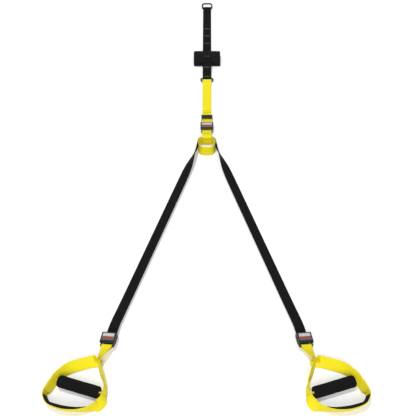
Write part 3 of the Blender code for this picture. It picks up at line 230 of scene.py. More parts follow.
# Sewing, weave and the plates' faces
STITCH_PITCH = 0.0009
TACK_LENGTH = 0.0026
THREAD_RADIUS = 0.00028
THREAD_STEPS, THREAD_SIDES = 6, 5
FACE_POINTS = 7
EDGE_SHARE = 0.6
ANCHOR_TACKS = (0.773, 0.7265, 0.676, 0.565, 0.503, 0.457)
ANCHOR_TACK_SHARE = 0.62
EXTENSION_TACKS = (0.0025, 0.0105)
EXTENSION_TACK_SHARE = 0.86
YOKE_TACKS = (0.012, 0.020)
YOKE_TACK_SHARE = 0.8
CRADLE_FIRST_TACKS, CRADLE_LAST_TACKS = (0.004, 0.016), (0.004, 0.030)
CRADLE_TACK_SHARE = 0.84
WEAVE_RIB = 0.0016
WEAVE_COLUMN = 0.0032
PANEL_RIM = 0.0022
PANEL_LOW = -0.0050
PANEL_HIGH = 0.0106
PANEL_BLUR = 0.0004
BAND_HIGH = 0.0006

# Places along the middle line, from the legs' pivots to the anchor's ring
PIVOT_Y = 0.0585294
LOOP_WALL_Y = PIVOT_Y + WALL_FROM_PIVOT
TOP_BAR_Y = LOOP_WALL_Y + YOKE_LENGTH
TOP_BUCKLE_Y = TOP_BAR_Y + BAR_BACK
LINK_BAR_Y = TOP_BUCKLE_Y + EXTENSION_LENGTH
ANCHOR_BAR_Y = LINK_BAR_Y + ANCHOR_LENGTH
PAD_FRONT_Y = LINK_BAR_Y + PAD_FROM_LINK
PAD_BACK_Y = PAD_FRONT_Y + PAD_LENGTH
PAD_MIDDLE_Y = (PAD_FRONT_Y + PAD_BACK_Y) / 2
UP = np.array((0.0, 0.0, 1.0))

# Where the straps are cut for their joints, and how far the buckles slide
EXTENSION_CUT = LINK_BAR_Y - LINK_RING_REACH - 0.020
GRIP_ROOM = 0.004
EXTENSION_END_SHORT = 0.032
LEG_END_SHORT = 0.030
LEG_TURN_REACH = 0.05
BRIDGE_KEEP = 0.012
TURN_NEAR_SHARES = np.array((1, 0.75, 0.5))
TURN_FAR_SHARES = np.array((0.12, 0.2, 0.3, 0.45, 0.6, 0.8, 1.0))

# Stage
FLOOR_HEIGHT = -0.0002
CAMERA_PLACE = (0.0045, -1.3880, 1.797)
SENSOR_WIDTH = 36
LAMPS = (("key_lamp", (-1.4, 1.25, 8.2), 0.6), ("fill_lamp", (0.0, -4.5, 3.6), 3.0))


# Curves and bands


def smooth_rows(values, steps, places=2, level=1):
    """Cubic spans through rows of values, over the distance travelled in the first columns.

    The slope at a row is the distance-weighted mean of the rates on its two sides. The columns from
    `level` on take the harmonic mean instead, and zero at a turn, so that they never swing past a row.
    """
    rows = np.array(values, float)
    length = np.linalg.norm(np.diff(rows[:, :places], axis=0), axis=1)[:, None]
    rate = np.diff(rows, axis=0) / length
    mean = (rate[:-1] * length[1:] + rate[1:] * length[:-1]) / (length[1:] + length[:-1])
    slope = np.vstack([rate[:1], mean, rate[-1:]])
    before, after = rate[:-1, level:], rate[1:, level:]
    same = before * after > 0
    slope[1:-1, level:] = np.where(same, 2 * before * after / np.where(same, before + after, 1), 0)
    t = np.linspace(0, 1, steps, endpoint=False)[:, None]
    spans = []
    for k, span in enumerate(length):
        spans.append((2 * t**3 - 3 * t**2 + 1) * rows[k] + (t**3 - 2 * t**2 + t) * slope[k] * span
                     + (3 * t**2 - 2 * t**3) * rows[k + 1] + (t**3 - t**2) * slope[k + 1] * span)
    return np.vstack([*spans, rows[-1:]])


def arc(centre, radius, start, end, steps):
    """Points on a circle round a centre, from one angle to another in half turns."""
    angles = np.linspace(start * math.pi, end * math.pi, steps + 1)
    return np.array(centre) + radius * np.column_stack([np.cos(angles), np.sin(angles)])


def unit(rows):
    """Rows of vectors, each made one long."""
    return rows / np.linalg.norm(rows, axis=-1, keepdims=True)


def directions(path):
    """The unit direction of travel at each point of a path."""
    return unit(np.gradient(path, axis=0))


def band_frame(path, across):
    """The direction across a band, squared to its path, and the direction out of its face."""
    travel = directions(path)
    across = np.broadcast_to(np.array(across, float), path.shape)
    across = unit(across - travel * np.sum(across * travel, axis=1)[:, None])
    return across, np.cross(travel, across)


def in_long_plane(rows):
    """(y, z) rows as points on the centre plane."""
    rows = np.array(rows, float)
    return np.column_stack([np.zeros(len(rows)), rows])


def ease(value):
    """Runs from 0 to 1 with level ends."""
    value = np.clip(value, 0, 1)
    return value * value * (3 - 2 * value)


def mirrored(half):
    """Plan rows from left to the middle, followed by their mirror image on the right."""
    return np.vstack([half, half[::-1] * (-1, 1)])


def rolled(inward, roll):
    """A band's direction across it, with its inner edge raised by a roll, and out of its upper face."""
    return (inward * math.cos(roll) + UP * math.sin(roll), UP * math.cos(roll) - inward * math.sin(roll))


# Centre lines, from the anchor end down to the handles


def ring_line(bar_y, way, room, reach, far_corner, far_height):
    """Centre line of a ring: four straight sides joined by quarter circles, tight at the bar."""
    half, near = HALF + room + RING_RADIUS, RING_BAR_CORNER
    left = np.vstack([arc((near - half, near), near, 1.5, 1, 10),
                      arc((far_corner - half, reach - far_corner), far_corner, 1, 0.5, 18)])
    plan = mirrored(left)
    rise = (far_height - RING_HEIGHT) / reach
    return np.column_stack([plan[:, 0], bar_y + way * plan[:, 1], RING_HEIGHT + rise * plan[:, 1]])


def pad_run():
    """The doubled strap's middle line inside the pad, as (y, z): where it enters and leaves."""
    return np.array([(PAD_BACK_Y, PAD_HEIGHT * PAD_ENTRY_SHARE), (PAD_FRONT_Y + SLIT_SHARE * PAD_LENGTH, PAD_HEIGHT)])


def anchor_middle():
    """Middle line of the anchor strap from its ring, up into the pad and down to the link ring."""
    entry, slit = pad_run()
    outside = PAD_LENGTH * PAD_OUTSIDE_SHARE
    slope = (slit[1] - entry[1]) / (slit[0] - entry[0])
    lead = PAD_BACK_Y + PAD_LENGTH * ANCHOR_LEAD_SHARE - ANCHOR_BAR_Y
    fall = STRAP_ON_PAD_HEIGHT - RING_HEIGHT
    return smooth_rows([
        (ANCHOR_BAR_Y, RING_HEIGHT), (ANCHOR_BAR_Y - FOLD_TAPER / 2, (RING_HEIGHT + PAIR_HEIGHT) / 2),
        (ANCHOR_BAR_Y - FOLD_TAPER, PAIR_HEIGHT),
        *((ANCHOR_BAR_Y + lead * share, PAIR_HEIGHT) for share in ANCHOR_FLAT_SHARES),
        (entry[0] + outside, entry[1] + slope * outside), entry, (entry + slit) / 2, slit,
        *((PAD_FRONT_Y + share * PAD_LENGTH, STRAP_ON_PAD_HEIGHT) for share in ANCHOR_REST_SHARES),
        *((LINK_BAR_Y + share * PAD_FROM_LINK, RING_HEIGHT + high * fall) for share, high in ANCHOR_DROP_SHARES),
        (LINK_BAR_Y, RING_HEIGHT)], FLAT_STEPS)


def anchor_line():
    """One length of webbing: both its ends meet on the underside, where two plies lie sewn together."""
    middle = anchor_middle()
    to_ring = np.abs(middle[:, :1] - (ANCHOR_BAR_Y, LINK_BAR_Y)).min(axis=1) / FOLD_TAPER
    gap = (PAIR_HALF + (RING_WRAP - PAIR_HALF) * (1 - ease(to_ring)))[:, None]
    travel = directions(middle)
    out = np.column_stack([travel[:, 1], -travel[:, 0]])
    over, under = middle + out * gap, middle - out * gap
    under[:, 1] = np.maximum(under[:, 1], WEBBING_THICK / 2)
    join = int(np.argmin(np.abs(middle[:, 0] - (ANCHOR_BAR_Y - 2 * PAD_LENGTH))))
    far = arc((ANCHOR_BAR_Y, RING_HEIGHT), RING_WRAP, -0.5, 0.5, 8)
    near = arc((LINK_BAR_Y, RING_HEIGHT), RING_WRAP, 0.5, 1.5, 8)
    return in_long_plane(np.vstack([under[join:0:-1], far, over[1:-1], near, under[-2:join:-1]]))


def extension_line():
    """Yellow webbing: the upper ply ends at a seam, the lower one runs on through the buckle."""
    rest, at = WEBBING_THICK / 2, TOP_BUCKLE_Y
    arch, seam = LINK_BAR_Y - LINK_RING_REACH, at + SEAM_FROM_BUCKLE
    bend = LINK_BAR_Y - 2 * RING_WRAP - WEBBING_THICK - LOOP_SLACK
    ply, top = rest + PLY, RING_HEIGHT + RING_WRAP
    upper = smooth_rows([(seam, ply), ((seam * 2 + arch) / 3, ply), (arch - FOLD_TAPER * FOLD_START_SHARE, ply),
                         (arch - FOLD_TAPER * FOLD_MIDDLE_SHARE, (ply + top) / 2), (arch - RING_WIRE, top),
                         (arch, top), (bend, top)], FLAT_STEPS)
    fold = arc((bend, RING_HEIGHT), RING_WRAP, 0.5, -0.5, 8)
    lower = smooth_rows([(bend, rest), (arch, rest), ((arch + seam) / 2, rest), (seam, rest), (at + NOSE_END, rest),
                         (at + BUCKLE_LEAD, rest), (at + WALL_END, STRAP_HEIGHT), (at, STRAP_HEIGHT),
                         (at - BASE_END, STRAP_HEIGHT), (at - BASE_END - TAIL_DROP, rest),
                         (at - BAR_BACK - TAIL_LENGTH, rest)], FLAT_STEPS)
    return in_long_plane(np.vstack([upper[:-1], fold, lower[1:]]))


def yoke_line():
    """A sewn loop of webbing: round the top buckle's bar, over and under the locking loop's wall."""
    thick, floor = WEBBING_THICK, WEBBING_THICK / 2
    inner, turn = LOOP_WALL_Y - PLY - YOKE_ROOM, WEBBING_THICK / 2 + YOKE_ROOM
    crest = PLY + WEBBING_WIDTH + PLY_GAP + floor
    join = LOOP_WALL_Y + YOKE_LENGTH * YOKE_JOIN_SHARE
    over_tail, tail_end = floor + PLY + PLY_GAP, TOP_BAR_Y - TAIL_LENGTH
    level_end = LOOP_WALL_Y + PLY + 2 * thick
    under = [(join, floor), ((join + LOOP_WALL_Y) / 2, floor), (inner + 2 * turn, floor)]
    run, drop = TOP_BAR_Y - level_end, BAR_HEIGHT + BAR_WRAP - crest
    fall = [(inner + 2 * turn, crest), (level_end, crest)]
    fall += [(level_end + run * along, crest + drop * down) for along, down in YOKE_FALL_SHARES]
    back = [(TOP_BAR_Y - thick, BAR_HEIGHT - BAR_WRAP), ((TOP_BAR_Y + tail_end) / 2, over_tail),
            (tail_end - thick, over_tail), ((tail_end + join) / 2, (over_tail + floor) / 2), (join + thick / 4, floor)]
    return in_long_plane(np.vstack([
        smooth_rows(under, FLAT_STEPS), arc((inner + turn, floor + turn), turn, -0.5, -1, 4),
        arc((inner + turn, crest - turn), turn, 1, 0.5, 4), smooth_rows(fall, FLAT_STEPS)[:-1],
        arc((TOP_BAR_Y, BAR_HEIGHT), BAR_WRAP, 0.5, -0.5, 8), smooth_rows(back, FLAT_STEPS)]))


def lift_at(y):
    """How far the standing webbing is lifted off the floor by the yoke's lower ply."""
    return PLY * ease((y - (LOOP_WALL_Y - LOOP_DEPTH)) / LOOP_DEPTH)


def locking_line():
    """A rounded loop of webbing on its edge: upright at its far wall, its top leaning in elsewhere."""
    near, half, far_r, near_r = LOOP_WALL_Y - LOOP_DEPTH, LOOP_HALF_WIDTH, LOOP_FAR_CORNER, LOOP_NEAR_CORNER
    wall = np.linspace(LOOP_WALL_Y - far_r, near + near_r, LOOP_WALL_STEPS + 1)[1:-1]
    plan = mirrored(np.vstack([[(-PLY_GAP, LOOP_WALL_Y)], arc((far_r - half, LOOP_WALL_Y - far_r), far_r, 0.5, 1, 6),
                               [(-half, y) for y in wall], arc((near_r - half, near + near_r), near_r, 1, 1.5, 6)]))
    lean = (LOOP_LEAN * (1 - ease((plan[:, 1] - near) / LOOP_DEPTH / LOOP_LEAN_END_SHARE)))[:, None]
    travel = directions(plan)
    inward = np.column_stack([-travel[:, 1], travel[:, 0], np.zeros(len(plan))])
    across = inward * np.sin(lean) + UP * np.cos(lean)
    foot = np.column_stack([plan, lift_at(plan[:, 1])]) + inward * np.sin(lean) * WEBBING_THICK / 2
    path = foot + across * HALF
    path[:, 2] += np.sin(lean[:, 0]) * WEBBING_THICK / 2
    return path, across


def main_line():
    """The main strap on its edge behind the locking loop, one ply outside it, from pivot to pivot."""
    left = arc((LOOP_FAR_CORNER - LOOP_HALF_WIDTH, LOOP_WALL_Y - LOOP_FAR_CORNER), LOOP_FAR_CORNER + PLY, 1, 0.5, 6)
    plan = mirrored(np.vstack([[(-PIVOT_OUT, PIVOT_Y + PIVOT_GAP)], left]))
    return np.column_stack([plan, HALF + lift_at(plan[:, 1])])


def leg_way(side, reach=0.0):
    """Unit directions at a distance down one leg: along it, and level across it towards the middle."""
    past = reach - (LEG_LENGTH - BEND_BEFORE_BUCKLE - BEND_HALF)
    turned = min(max(past / (2 * BEND_HALF), 0.0), 1.0)
    angle = LEG_ANGLE + (BUCKLE_ANGLE - LEG_ANGLE) * turned
    down = np.array((side * math.sin(angle), -math.cos(angle), 0.0))
    inward = np.array((-side * math.cos(angle), -math.sin(angle), 0.0))
    return down, inward


def leg_line(side, reach):
    """Plan point at a distance down the leg: straight, then a parabola into the buckle's direction."""
    corner = LEG_LENGTH - BEND_BEFORE_BUCKLE
    past = reach - corner
    held = min(max(past, -BEND_HALF), BEND_HALF)
    before = min(past + BEND_HALF, 0.0) - (BEND_HALF - held) ** 2 / (4 * BEND_HALF)
    after = max(past - BEND_HALF, 0.0) + (BEND_HALF + held) ** 2 / (4 * BEND_HALF)
    pivot = np.array((side * PIVOT_OUT, PIVOT_Y, 0.0))
    return pivot + leg_way(side)[0] * (corner + before) + leg_way(side, LEG_LENGTH)[0] * after


# Height of the strap's centre where it runs through the rolled leg buckle
BUCKLE_LINE = UP * (BUCKLE_WIDTH / 2 * math.sin(BUCKLE_ROLL) + STRAP_HEIGHT * math.cos(BUCKLE_ROLL))


def leg_rows(side):
    """From upright at the pivot the webbing turns down on its outer edge and runs into the buckle."""
    bend = np.array((-1.0, -0.5, 0.0, 0.5)) * BEND_HALF - BEND_BEFORE_BUCKLE
    inside = (-BUCKLE_LEAD, -WALL_END, 0, BASE_END, BASE_END + TAIL_DROP, BAR_BACK + TAIL_LENGTH)
    curve = smooth_rows(LEG_ROLL_SHARES, 20)
    path, across = [], []
    for reach in np.hstack([PIVOT_GAP, LEG_LENGTH * LEG_STOP_SHARES, LEG_LENGTH + bend, LEG_LENGTH + np.array(inside)]):
        share = reach / LEG_LENGTH
        roll = UPRIGHT * np.interp(share, curve[:, 0], curve[:, 1])
        over, out = rolled(leg_way(side, reach)[1], roll)
        lying = HALF * math.sin(roll) + WEBBING_THICK / 2 * math.cos(roll)
        lying += lift_at(PIVOT_Y) * (1 - ease(share / LEG_LIFT_END_SHARE))
        blend = ease((share - LEG_BLEND_SHARE) / (1 - LEG_BLEND_SHARE - WALL_END / LEG_LENGTH))
        drop = (WEBBING_THICK / 2 - STRAP_HEIGHT) * ease((reach - LEG_LENGTH - BASE_END) / TAIL_DROP)
        path.append(leg_line(side, reach) + UP * lying + (BUCKLE_LINE - UP * lying) * blend + out * drop)
        across.append(over)
    return np.array(path), np.array(across)


def in_leg_buckle(side, reach, rise):
    """A place in a leg buckle: its distance down the leg, raised out of the strap's face."""
    out = rolled(leg_way(side, LEG_LENGTH)[1], BUCKLE_ROLL)[1]
    return leg_line(side, reach) + BUCKLE_LINE + out * rise, out


def leg_buckle_place(side):
    """The rolled leg buckle's own axes and place: across, back up the leg, and out of its top."""
    middle, out = in_leg_buckle(side, LEG_LENGTH, -STRAP_HEIGHT)
    back = -leg_way(side, LEG_LENGTH)[0]
    right = np.cross(back, out)
    return Matrix([[right[k], back[k], out[k], middle[k]] for k in range(3)] + [[0, 0, 0, 1]])


def handle_way(side):
    """Unit directions of one handle: out along its grip, and down from the grip to the cradle."""
    along = np.array((side * math.cos(HANDLE_SLANT), math.sin(HANDLE_SLANT), 0.0))
    down = np.array((side * math.sin(HANDLE_SLANT), -math.cos(HANDLE_SLANT), 0.0))
    return along, down


def handle_place(side, along_share, down_share, height=0.0):
    """A point of the handle from shares of its span and of the depths on its two sides."""
    along, down = handle_way(1)
    split = np.array((PIVOT_OUT, PIVOT_Y, height)) + leg_way(1)[0] * (LEG_LENGTH + BAR_BACK + SLING_LENGTH)
    middle = split - along * SPLIT_SHARES[0] * HANDLE_SPAN - down * SPLIT_SHARES[1] * HAND_DEPTH
    depth = HAND_DEPTH if down_share < 0 else CRADLE_DEPTH
    return (middle + along * along_share * HANDLE_SPAN + down * down_share * depth) * (side, 1, 1)


def cradle_path(side):
    """Centres of the foot cradle's band, the directions up it and the directions to its inside."""
    spots = [(*handle_place(side, a, d)[:2], math.radians(lean)) for a, d, lean in CRADLE_SHARES]
    rows = smooth_rows(spots, CRADLE_STEPS, 2, 2)
    lean = rows[:, 2:]
    path = np.column_stack([rows[:, :2], np.zeros(len(rows))])
    up = side * np.cross(directions(path), UP) * np.sin(lean) + UP * np.cos(lean)
    path[:, 2:] = HALF * np.cos(lean) + np.abs(np.sin(lean)) * WEBBING_THICK / 2
    across, out = band_frame(path, up)
    return path, across, side * out


def arm_rows(side, shares, before):
    """Rows of one arm, a centre and a direction across, with the edge towards the leg's inner side raised."""
    spots = np.array([handle_place(side, *row[:2]) for row in shares])
    rolls, lifts = np.array(shares)[:, 2:3] * math.pi / 180, np.array(shares)[:, 3:] * WEBBING_WIDTH
    level = side * np.cross(directions(np.vstack([before * (1, 1, 0), spots]))[1:], UP)
    spots[:, 2:] = lifts + HALF * np.abs(np.sin(rolls)) + WEBBING_THICK / 2 * np.abs(np.cos(rolls))
    return np.hstack([spots, level * np.cos(rolls) + UP * np.sin(rolls)])


def sling_rows(side, bar):
    """Rows of the two sewn plies between the buckle's bar and the split: first the upper, then the lower."""
    inward = leg_way(side, LEG_LENGTH)[1]
    split = handle_place(side, *NECK_SHARES, SPLIT_HEIGHT)
    run = unit((split - bar)[:2])
    square = side * np.array((run[1], -run[0], 0.0))
    upper, lower = [], []
    for share in SLING_SHARES:
        turned = ease((share - SLING_TURN_START) / SLING_TURN_SHARE)
        roll = BUCKLE_ROLL + (SPLIT_ROLL - BUCKLE_ROLL) * share ** SLING_ROLL_POWER
        over, out = rolled(unit(inward * (1 - turned) + square * turned), roll)
        gap = BAR_WRAP + (PAIR_HALF + SEWN_ROOM - BAR_WRAP) * ease(share / SLING_TURN_SHARE)
        spot = bar * (1 - share) + split * share
        upper.append((*(spot + out * gap), *over))
        lower.append((*(spot - out * gap), *over))
    return np.array(upper), np.array(lower)


def hand_loop_rows(side):
    """One length: up the inner arm, round the buckle's bar, down the outer arm past the grip's end."""
    bar, out = in_leg_buckle(side, LEG_LENGTH + BAR_BACK, BAR_HEIGHT - STRAP_HEIGHT)
    down, inward = leg_way(side, LEG_LENGTH)
    over = rolled(inward, BUCKLE_ROLL)[0]
    upper, lower = sling_rows(side, bar)
    path, up, inside = cradle_path(side)
    apart = inside * (WEBBING_THICK + TAIL_ROOM)
    outer_tail = np.hstack([path + apart, up])[slice(*OUTER_TAIL)]
    inner_tail = np.hstack([path - apart, up])[slice(*INNER_TAIL, -1)]
    turn = [(*(bar + out * BAR_WRAP * math.cos(t) - down * BAR_WRAP * math.sin(t)), *over)
            for t in np.linspace(math.pi, 0, 9)[1:-1]]
    first = np.vstack([lower, arm_rows(side, INNER_ARM_SHARES, lower[-1, :3]), inner_tail[:1]])[::-1]
    last = np.vstack([upper, arm_rows(side, OUTER_ARM_SHARES, upper[-1, :3]), outer_tail[:1]])
    rows = np.vstack([inner_tail[:0:-1], smooth_rows(first, ARM_STEPS, 3, 2), turn,
                      smooth_rows(last, ARM_STEPS, 3, 2), outer_tail[1:]])
    return rows[:, :3], rows[:, 3:]


# Meshes from whole arrays of points


def solid(name, points, faces, coat, uv=None, crease=50):
    """One mesh object at the origin: points and faces as given, smooth but for edges sharper than crease.

    The cloth map takes two values for each point.
    """
    mesh = bpy.data.meshes.new(name)
    mesh.from_pydata(np.asarray(points, float).tolist(), [], faces)
    mesh.polygons.foreach_set("use_smooth", np.ones(len(mesh.polygons), bool))
    mesh.set_sharp_from_angle(angle=math.radians(crease))
    if uv is not None:
        corner = np.empty(len(mesh.loops), np.int32)
        mesh.loops.foreach_get("vertex_index", corner)
        layer = mesh.uv_layers.new(name="cloth")
        layer.data.foreach_set("uv", np.asarray(uv, np.float32)[corner].ravel())
    item = bpy.data.objects.new(name, mesh)
    bpy.context.scene.collection.objects.link(item)
    item.data.materials.append(finish(coat))
    return item


def squares(rows, columns, around, along):
    """Vertex numbers of every square between neighbours of a grid that is joined up where asked."""
    index = np.arange(rows * columns).reshape(rows, columns)
    if around:
        index = np.hstack([index, index[:, :1]])
    if along:
        index = np.vstack([index, index[:1]])
    return np.stack([index[:-1, :-1], index[:-1, 1:], index[1:, 1:], index[1:, :-1]], axis=-1).reshape(-1, 4)


def surface(name, grid, coat, around=True, along=False, uv=None):
    """A grid of points as a mesh. Where it goes around but not along, one face closes each end."""
    rows, columns = grid.shape[:2]
    faces = squares(rows, columns, around, along).tolist()
    if around and not along:
        last = (rows - 1) * columns
        faces += [list(range(columns))[::-1], list(range(last, last + columns))]
    return solid(name, grid.reshape(-1, 3), faces, coat, uv)


def capped(name, grid, coat, uv=None):
    """A grid that goes around, closed by triangles to one point in the middle of each end row."""
    rows, columns = grid.shape[:2]
    points = np.vstack([grid.reshape(-1, 3), grid[0].mean(axis=0), grid[-1].mean(axis=0)])
    first, last = np.arange(columns), (rows - 1) * columns + np.arange(columns)
    low = np.stack([np.roll(first, -1), first, np.full(columns, rows * columns)], axis=-1)
    high = np.stack([last, np.roll(last, -1), np.full(columns, rows * columns + 1)], axis=-1)
    return solid(name, points, squares(rows, columns, True, False).tolist() + low.tolist() + high.tolist(), coat, uv)


def circle(steps):
    """Angles round a full turn."""
    return np.linspace(0, 2 * math.pi, steps, endpoint=False)


def power(value, exponent):
    """A power that keeps its value's sign, for superellipses."""
    return np.sign(value) * np.abs(value) ** exponent


def tube(name, path, radius, sides, coat):
    """A closed round bar: circles of the radius, each square to the path, carried along it without twist."""
    travel = unit(np.roll(path, -1, axis=0) - np.roll(path, 1, axis=0))
    up = unit(np.cross(travel[0], travel[len(travel) // 5] + UP))
    ups = []
    for way in travel:
        up = unit(up - way * np.dot(up, way))
        ups.append(up)
    ups = np.array(ups)[:, None]
    beside = np.cross(travel[:, None], ups)
    angle = circle(sides)[None, :, None]
    return surface(name, path[:, None] + radius * (ups * np.cos(angle) + beside * np.sin(angle)), coat, along=True)


class Run:
    """A band's centre line, with the directions across it and out of its face, and the distance run."""

    def __init__(self, path, across=(1, 0, 0), steps=1):
        path = np.array(path, float)
        across = np.broadcast_to(np.array(across, float), path.shape)
        if steps > 1:
            path, across = np.hsplit(smooth_rows(np.hstack([path, across]), steps, 3, 6), 2)
        self.path = path
        self.across, self.out = band_frame(path, across)
        self.length = np.concatenate([[0.0], np.cumsum(np.linalg.norm(np.diff(path, axis=0), axis=1))])

    def read(self, values, along):
        """Values of a row of vectors at distances along the run."""
        return np.stack([np.interp(along, self.length, values[:, k]) for k in range(3)], axis=-1)

    def place(self, along, side=0.0, lift=0.0):
        """Points at distances along the run, off its middle and out of its face."""
        side, lift = np.asarray(side, float)[..., None], np.asarray(lift, float)[..., None]
        return self.read(self.path, along) + self.read(self.across, along) * side + self.read(self.out, along) * lift

    def cut(self, first, last):
        """The part of the run from one distance to another."""
        inner = self.length[(self.length > first + PLY_GAP) & (self.length < last - PLY_GAP)]
        along = np.concatenate([[first], inner, [last]])
        return Run(self.read(self.path, along), self.read(self.across, along))

    def sweep(self, side, up):
        """A section, given off the middle and out of the face, at every point of the run."""
        return self.path[:, None] + self.across[:, None] * side[..., None] + self.out[:, None] * up[..., None]


def ribbon(name, run, coat, half=HALF, thick=WEBBING_THICK, start=0.0):
    """Webbing along a run: a flat section whose two edges are half ellipses, side = e cos a, up = t sin a.

    The cloth map holds the distance along and the distance off the middle, both in metres.
    """
    edge = thick * EDGE_SHARE
    flat, level = np.linspace(half - edge, edge - half, FACE_POINTS), np.ones(FACE_POINTS)
    turn = np.linspace(0.5 * math.pi, -0.5 * math.pi, FACE_POINTS)[1:-1]
    side = np.concatenate([flat, edge - half - edge * np.cos(turn), flat[::-1], half - edge + edge * np.cos(turn)])
    up = thick / 2 * np.concatenate([level, np.sin(turn), -level, -np.sin(turn)])
    uv = np.stack(np.broadcast_arrays(run.length[:, None] + start, side), axis=-1)
    return surface(name, run.sweep(side, up), coat, uv=uv.reshape(-1, 2))


def seat(piece, body, slot, *nodes):
    """The piece rides on a body and stands for the nodes given. The slot is not used."""
    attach(piece, body)
    if nodes:
        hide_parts(*nodes)
    return piece


def strap(name, run, colour, body, node, **section):
    """A ribbon in one of the two webbings, seated for a node."""
    return seat(ribbon(name, run, colour, **section), body, colour, node)


def tack(run, along, half, face=1):
    """A bar tack: starts, ends and outward directions of close slanting stitches across the webbing."""
    side = np.linspace(-half, half, max(int(half * 2 / STITCH_PITCH), 4))
    reach, lift = np.full(len(side), TACK_LENGTH / 2), np.full(len(side), face * WEBBING_THICK / 2)
    starts = run.place(along - reach, side, lift)
    ends = run.place(along + reach, side + STITCH_PITCH / 2, lift)
    return starts, ends, run.read(run.out, along + 0 * reach) * face


def sew(name, tacks, thread, body, slot):
    """The given tacks as one piece of thread.

    Each stitch is a thin tube whose middle rises from start to end by its radius times sin of pi s.
    """
    starts, ends, outs = (np.vstack([row[k] for row in tacks])[:, None] for k in range(3))
    share = np.linspace(0, 1, THREAD_STEPS)[:, None]
    side = np.cross(outs, unit(ends - starts))[:, None]
    middle = starts * (1 - share) + ends * share + outs * THREAD_RADIUS * (np.sin(math.pi * share) - 0.25)
    angle = circle(THREAD_SIDES)[:, None]
    grid = middle[:, :, None] + THREAD_RADIUS * (side * np.cos(angle) - outs[:, None] * np.sin(angle))
    count = THREAD_STEPS * THREAD_SIDES
    one = squares(THREAD_STEPS, THREAD_SIDES, True, False).tolist()
    one += [list(range(THREAD_SIDES))[::-1], list(range(count - THREAD_SIDES, count))]
    faces = [[k + count * n for k in face] for n in range(len(grid)) for face in one]
    return seat(solid(name, grid.reshape(-1, 3), faces, thread, crease=80), body, slot)


# Materials


class Bench:
    """A node tree being written. Each call adds one node, sets its values and joins its inputs."""

    def __init__(self, tree):
        self.tree = tree

    def put(self, kind, values=(), **settings):
        node = self.tree.nodes.new("ShaderNode" + kind)
        for key, value in settings.items():
            setattr(node, key, value)
        for key, value in dict(values).items():
            socket = node.inputs[key]
            if isinstance(value, bpy.types.NodeSocket):
                self.tree.links.new(value, socket)
            else:
                socket.default_value = value
        return node

    def math(self, operation, *values):
        return self.put("Math", dict(enumerate(values)), operation=operation).outputs[0]

    def times(self, value, share):
        return self.math("MULTIPLY", value, share)

    def clear(self, value, low, high):
        """0 below low, 1 above high, with a smooth run between them."""
        return self.put("MapRange", {0: value, 1: low, 2: high}, interpolation_type="SMOOTHSTEP").outputs[0]

    def below(self, value, edge):
        """1 below an edge of a plate's face and 0 above it."""
        return self.math("SUBTRACT", 1.0, self.clear(value, edge, edge + PANEL_BLUR))

    def mix(self, factor, first, second):
        return self.put("Mix", {0: factor, 6: first, 7: second}, data_type="RGBA").outputs[2]

    def noise(self, vector, scale, detail=3.0):
        return self.put("TexNoise", {"Vector": vector, "Scale": scale, "Detail": detail}).outputs[0]

    def bump(self, height, distance, strength=1.0, **more):
        return self.put("Bump", {"Height": height, "Distance": distance, "Strength": strength, **more}).outputs[0]


class Coat(Bench):
    """A material being written, with the mottle that nearly all share.

    Values that are the same all over go on the Principled shader's own sockets.
    """

    def __init__(self, name, mottle, rough, metal=0.0, **values):
        self.made = bpy.data.materials.new(name)
        self.made.use_nodes = True
        super().__init__(self.made.node_tree)
        self.shader = self.tree.nodes["Principled BSDF"].inputs
        for key, value in dict(values, Roughness=rough, Metallic=metal).items():
            self.shader[key.replace("_", " ")].default_value = value
        self.place = self.put("TexCoord").outputs["Object"]
        if mottle:
            self.mask, self.fine = self.shared("Mottle", {"Place": self.place, "Scale": mottle})

    def shared(self, name, values):
        """Adds a shared group and gives its two outputs."""
        return tuple(self.put("Group", values, node_tree=shared_group(name)).outputs)

    def cloth(self):
        return self.put("UVMap", uv_map="cloth").outputs[0]

    def rough(self, span, low):
        """Roughness that follows the mottle's fine noise."""
        return self.math("MULTIPLY_ADD", self.fine, span, low)

    def send(self, **sockets):
        """Joins what was written to the shader's inputs, and gives the material."""
        for key, socket in sockets.items():
            self.tree.links.new(socket, self.shader[key.replace("_", " ")])
        return self.made


def fill_weave(b, start):
    """Herringbone webbing: diagonal ribs whose slant turns at each column, with a valley between columns.

    The rib phase is (along + 0.9 pingpong(off, column)) / rib, and the valley is |sin(pi off / column)|
    to the power 0.5.
    """
    parts = b.put("SeparateXYZ", {0: start["Cloth"]}).outputs
    zig = b.times(b.math("PINGPONG", parts[1], start["Column"]), 0.9)
    phase = b.math("DIVIDE", b.math("ADD", parts[0], zig), start["Rib"])
    ridge = b.math("MULTIPLY_ADD", b.math("SINE", b.times(phase, 2 * math.pi)), 0.5, 0.5)
    turn = b.times(b.math("DIVIDE", parts[1], start["Column"]), math.pi)
    valley = b.math("POWER", b.math("ABSOLUTE", b.math("SINE", turn)), 0.5)
    slanted = b.put("VectorMath", {0: start["Cloth"], 1: (1.0, 2.5, 1.0)}, operation="MULTIPLY").outputs[0]
    raised = b.math("MULTIPLY_ADD", ridge, 0.55, b.times(valley, 0.35))
    height = b.math("MULTIPLY_ADD", b.noise(slanted, 1800.0, 2.0), 0.2, raised)
    # Mask of the selvedge, along which the webbing material paints shade
    selvedge = b.clear(b.math("ABSOLUTE", parts[1]), HALF - 0.0022, HALF - 0.0008)
    return {"Height": height, "Selvedge": selvedge}


def fill_mottle(b, start):
    """Slow and fine changes over a surface, from two noises on the object's own coordinates."""
    slow = b.noise(start["Place"], start["Scale"], 4.0)
    fast = b.noise(start["Place"], b.times(start["Scale"], 11.0))
    return {"Mask": b.clear(b.math("MULTIPLY_ADD", fast, 0.4, b.times(slow, 0.6)), 0.32, 0.68), "Fine": fast}


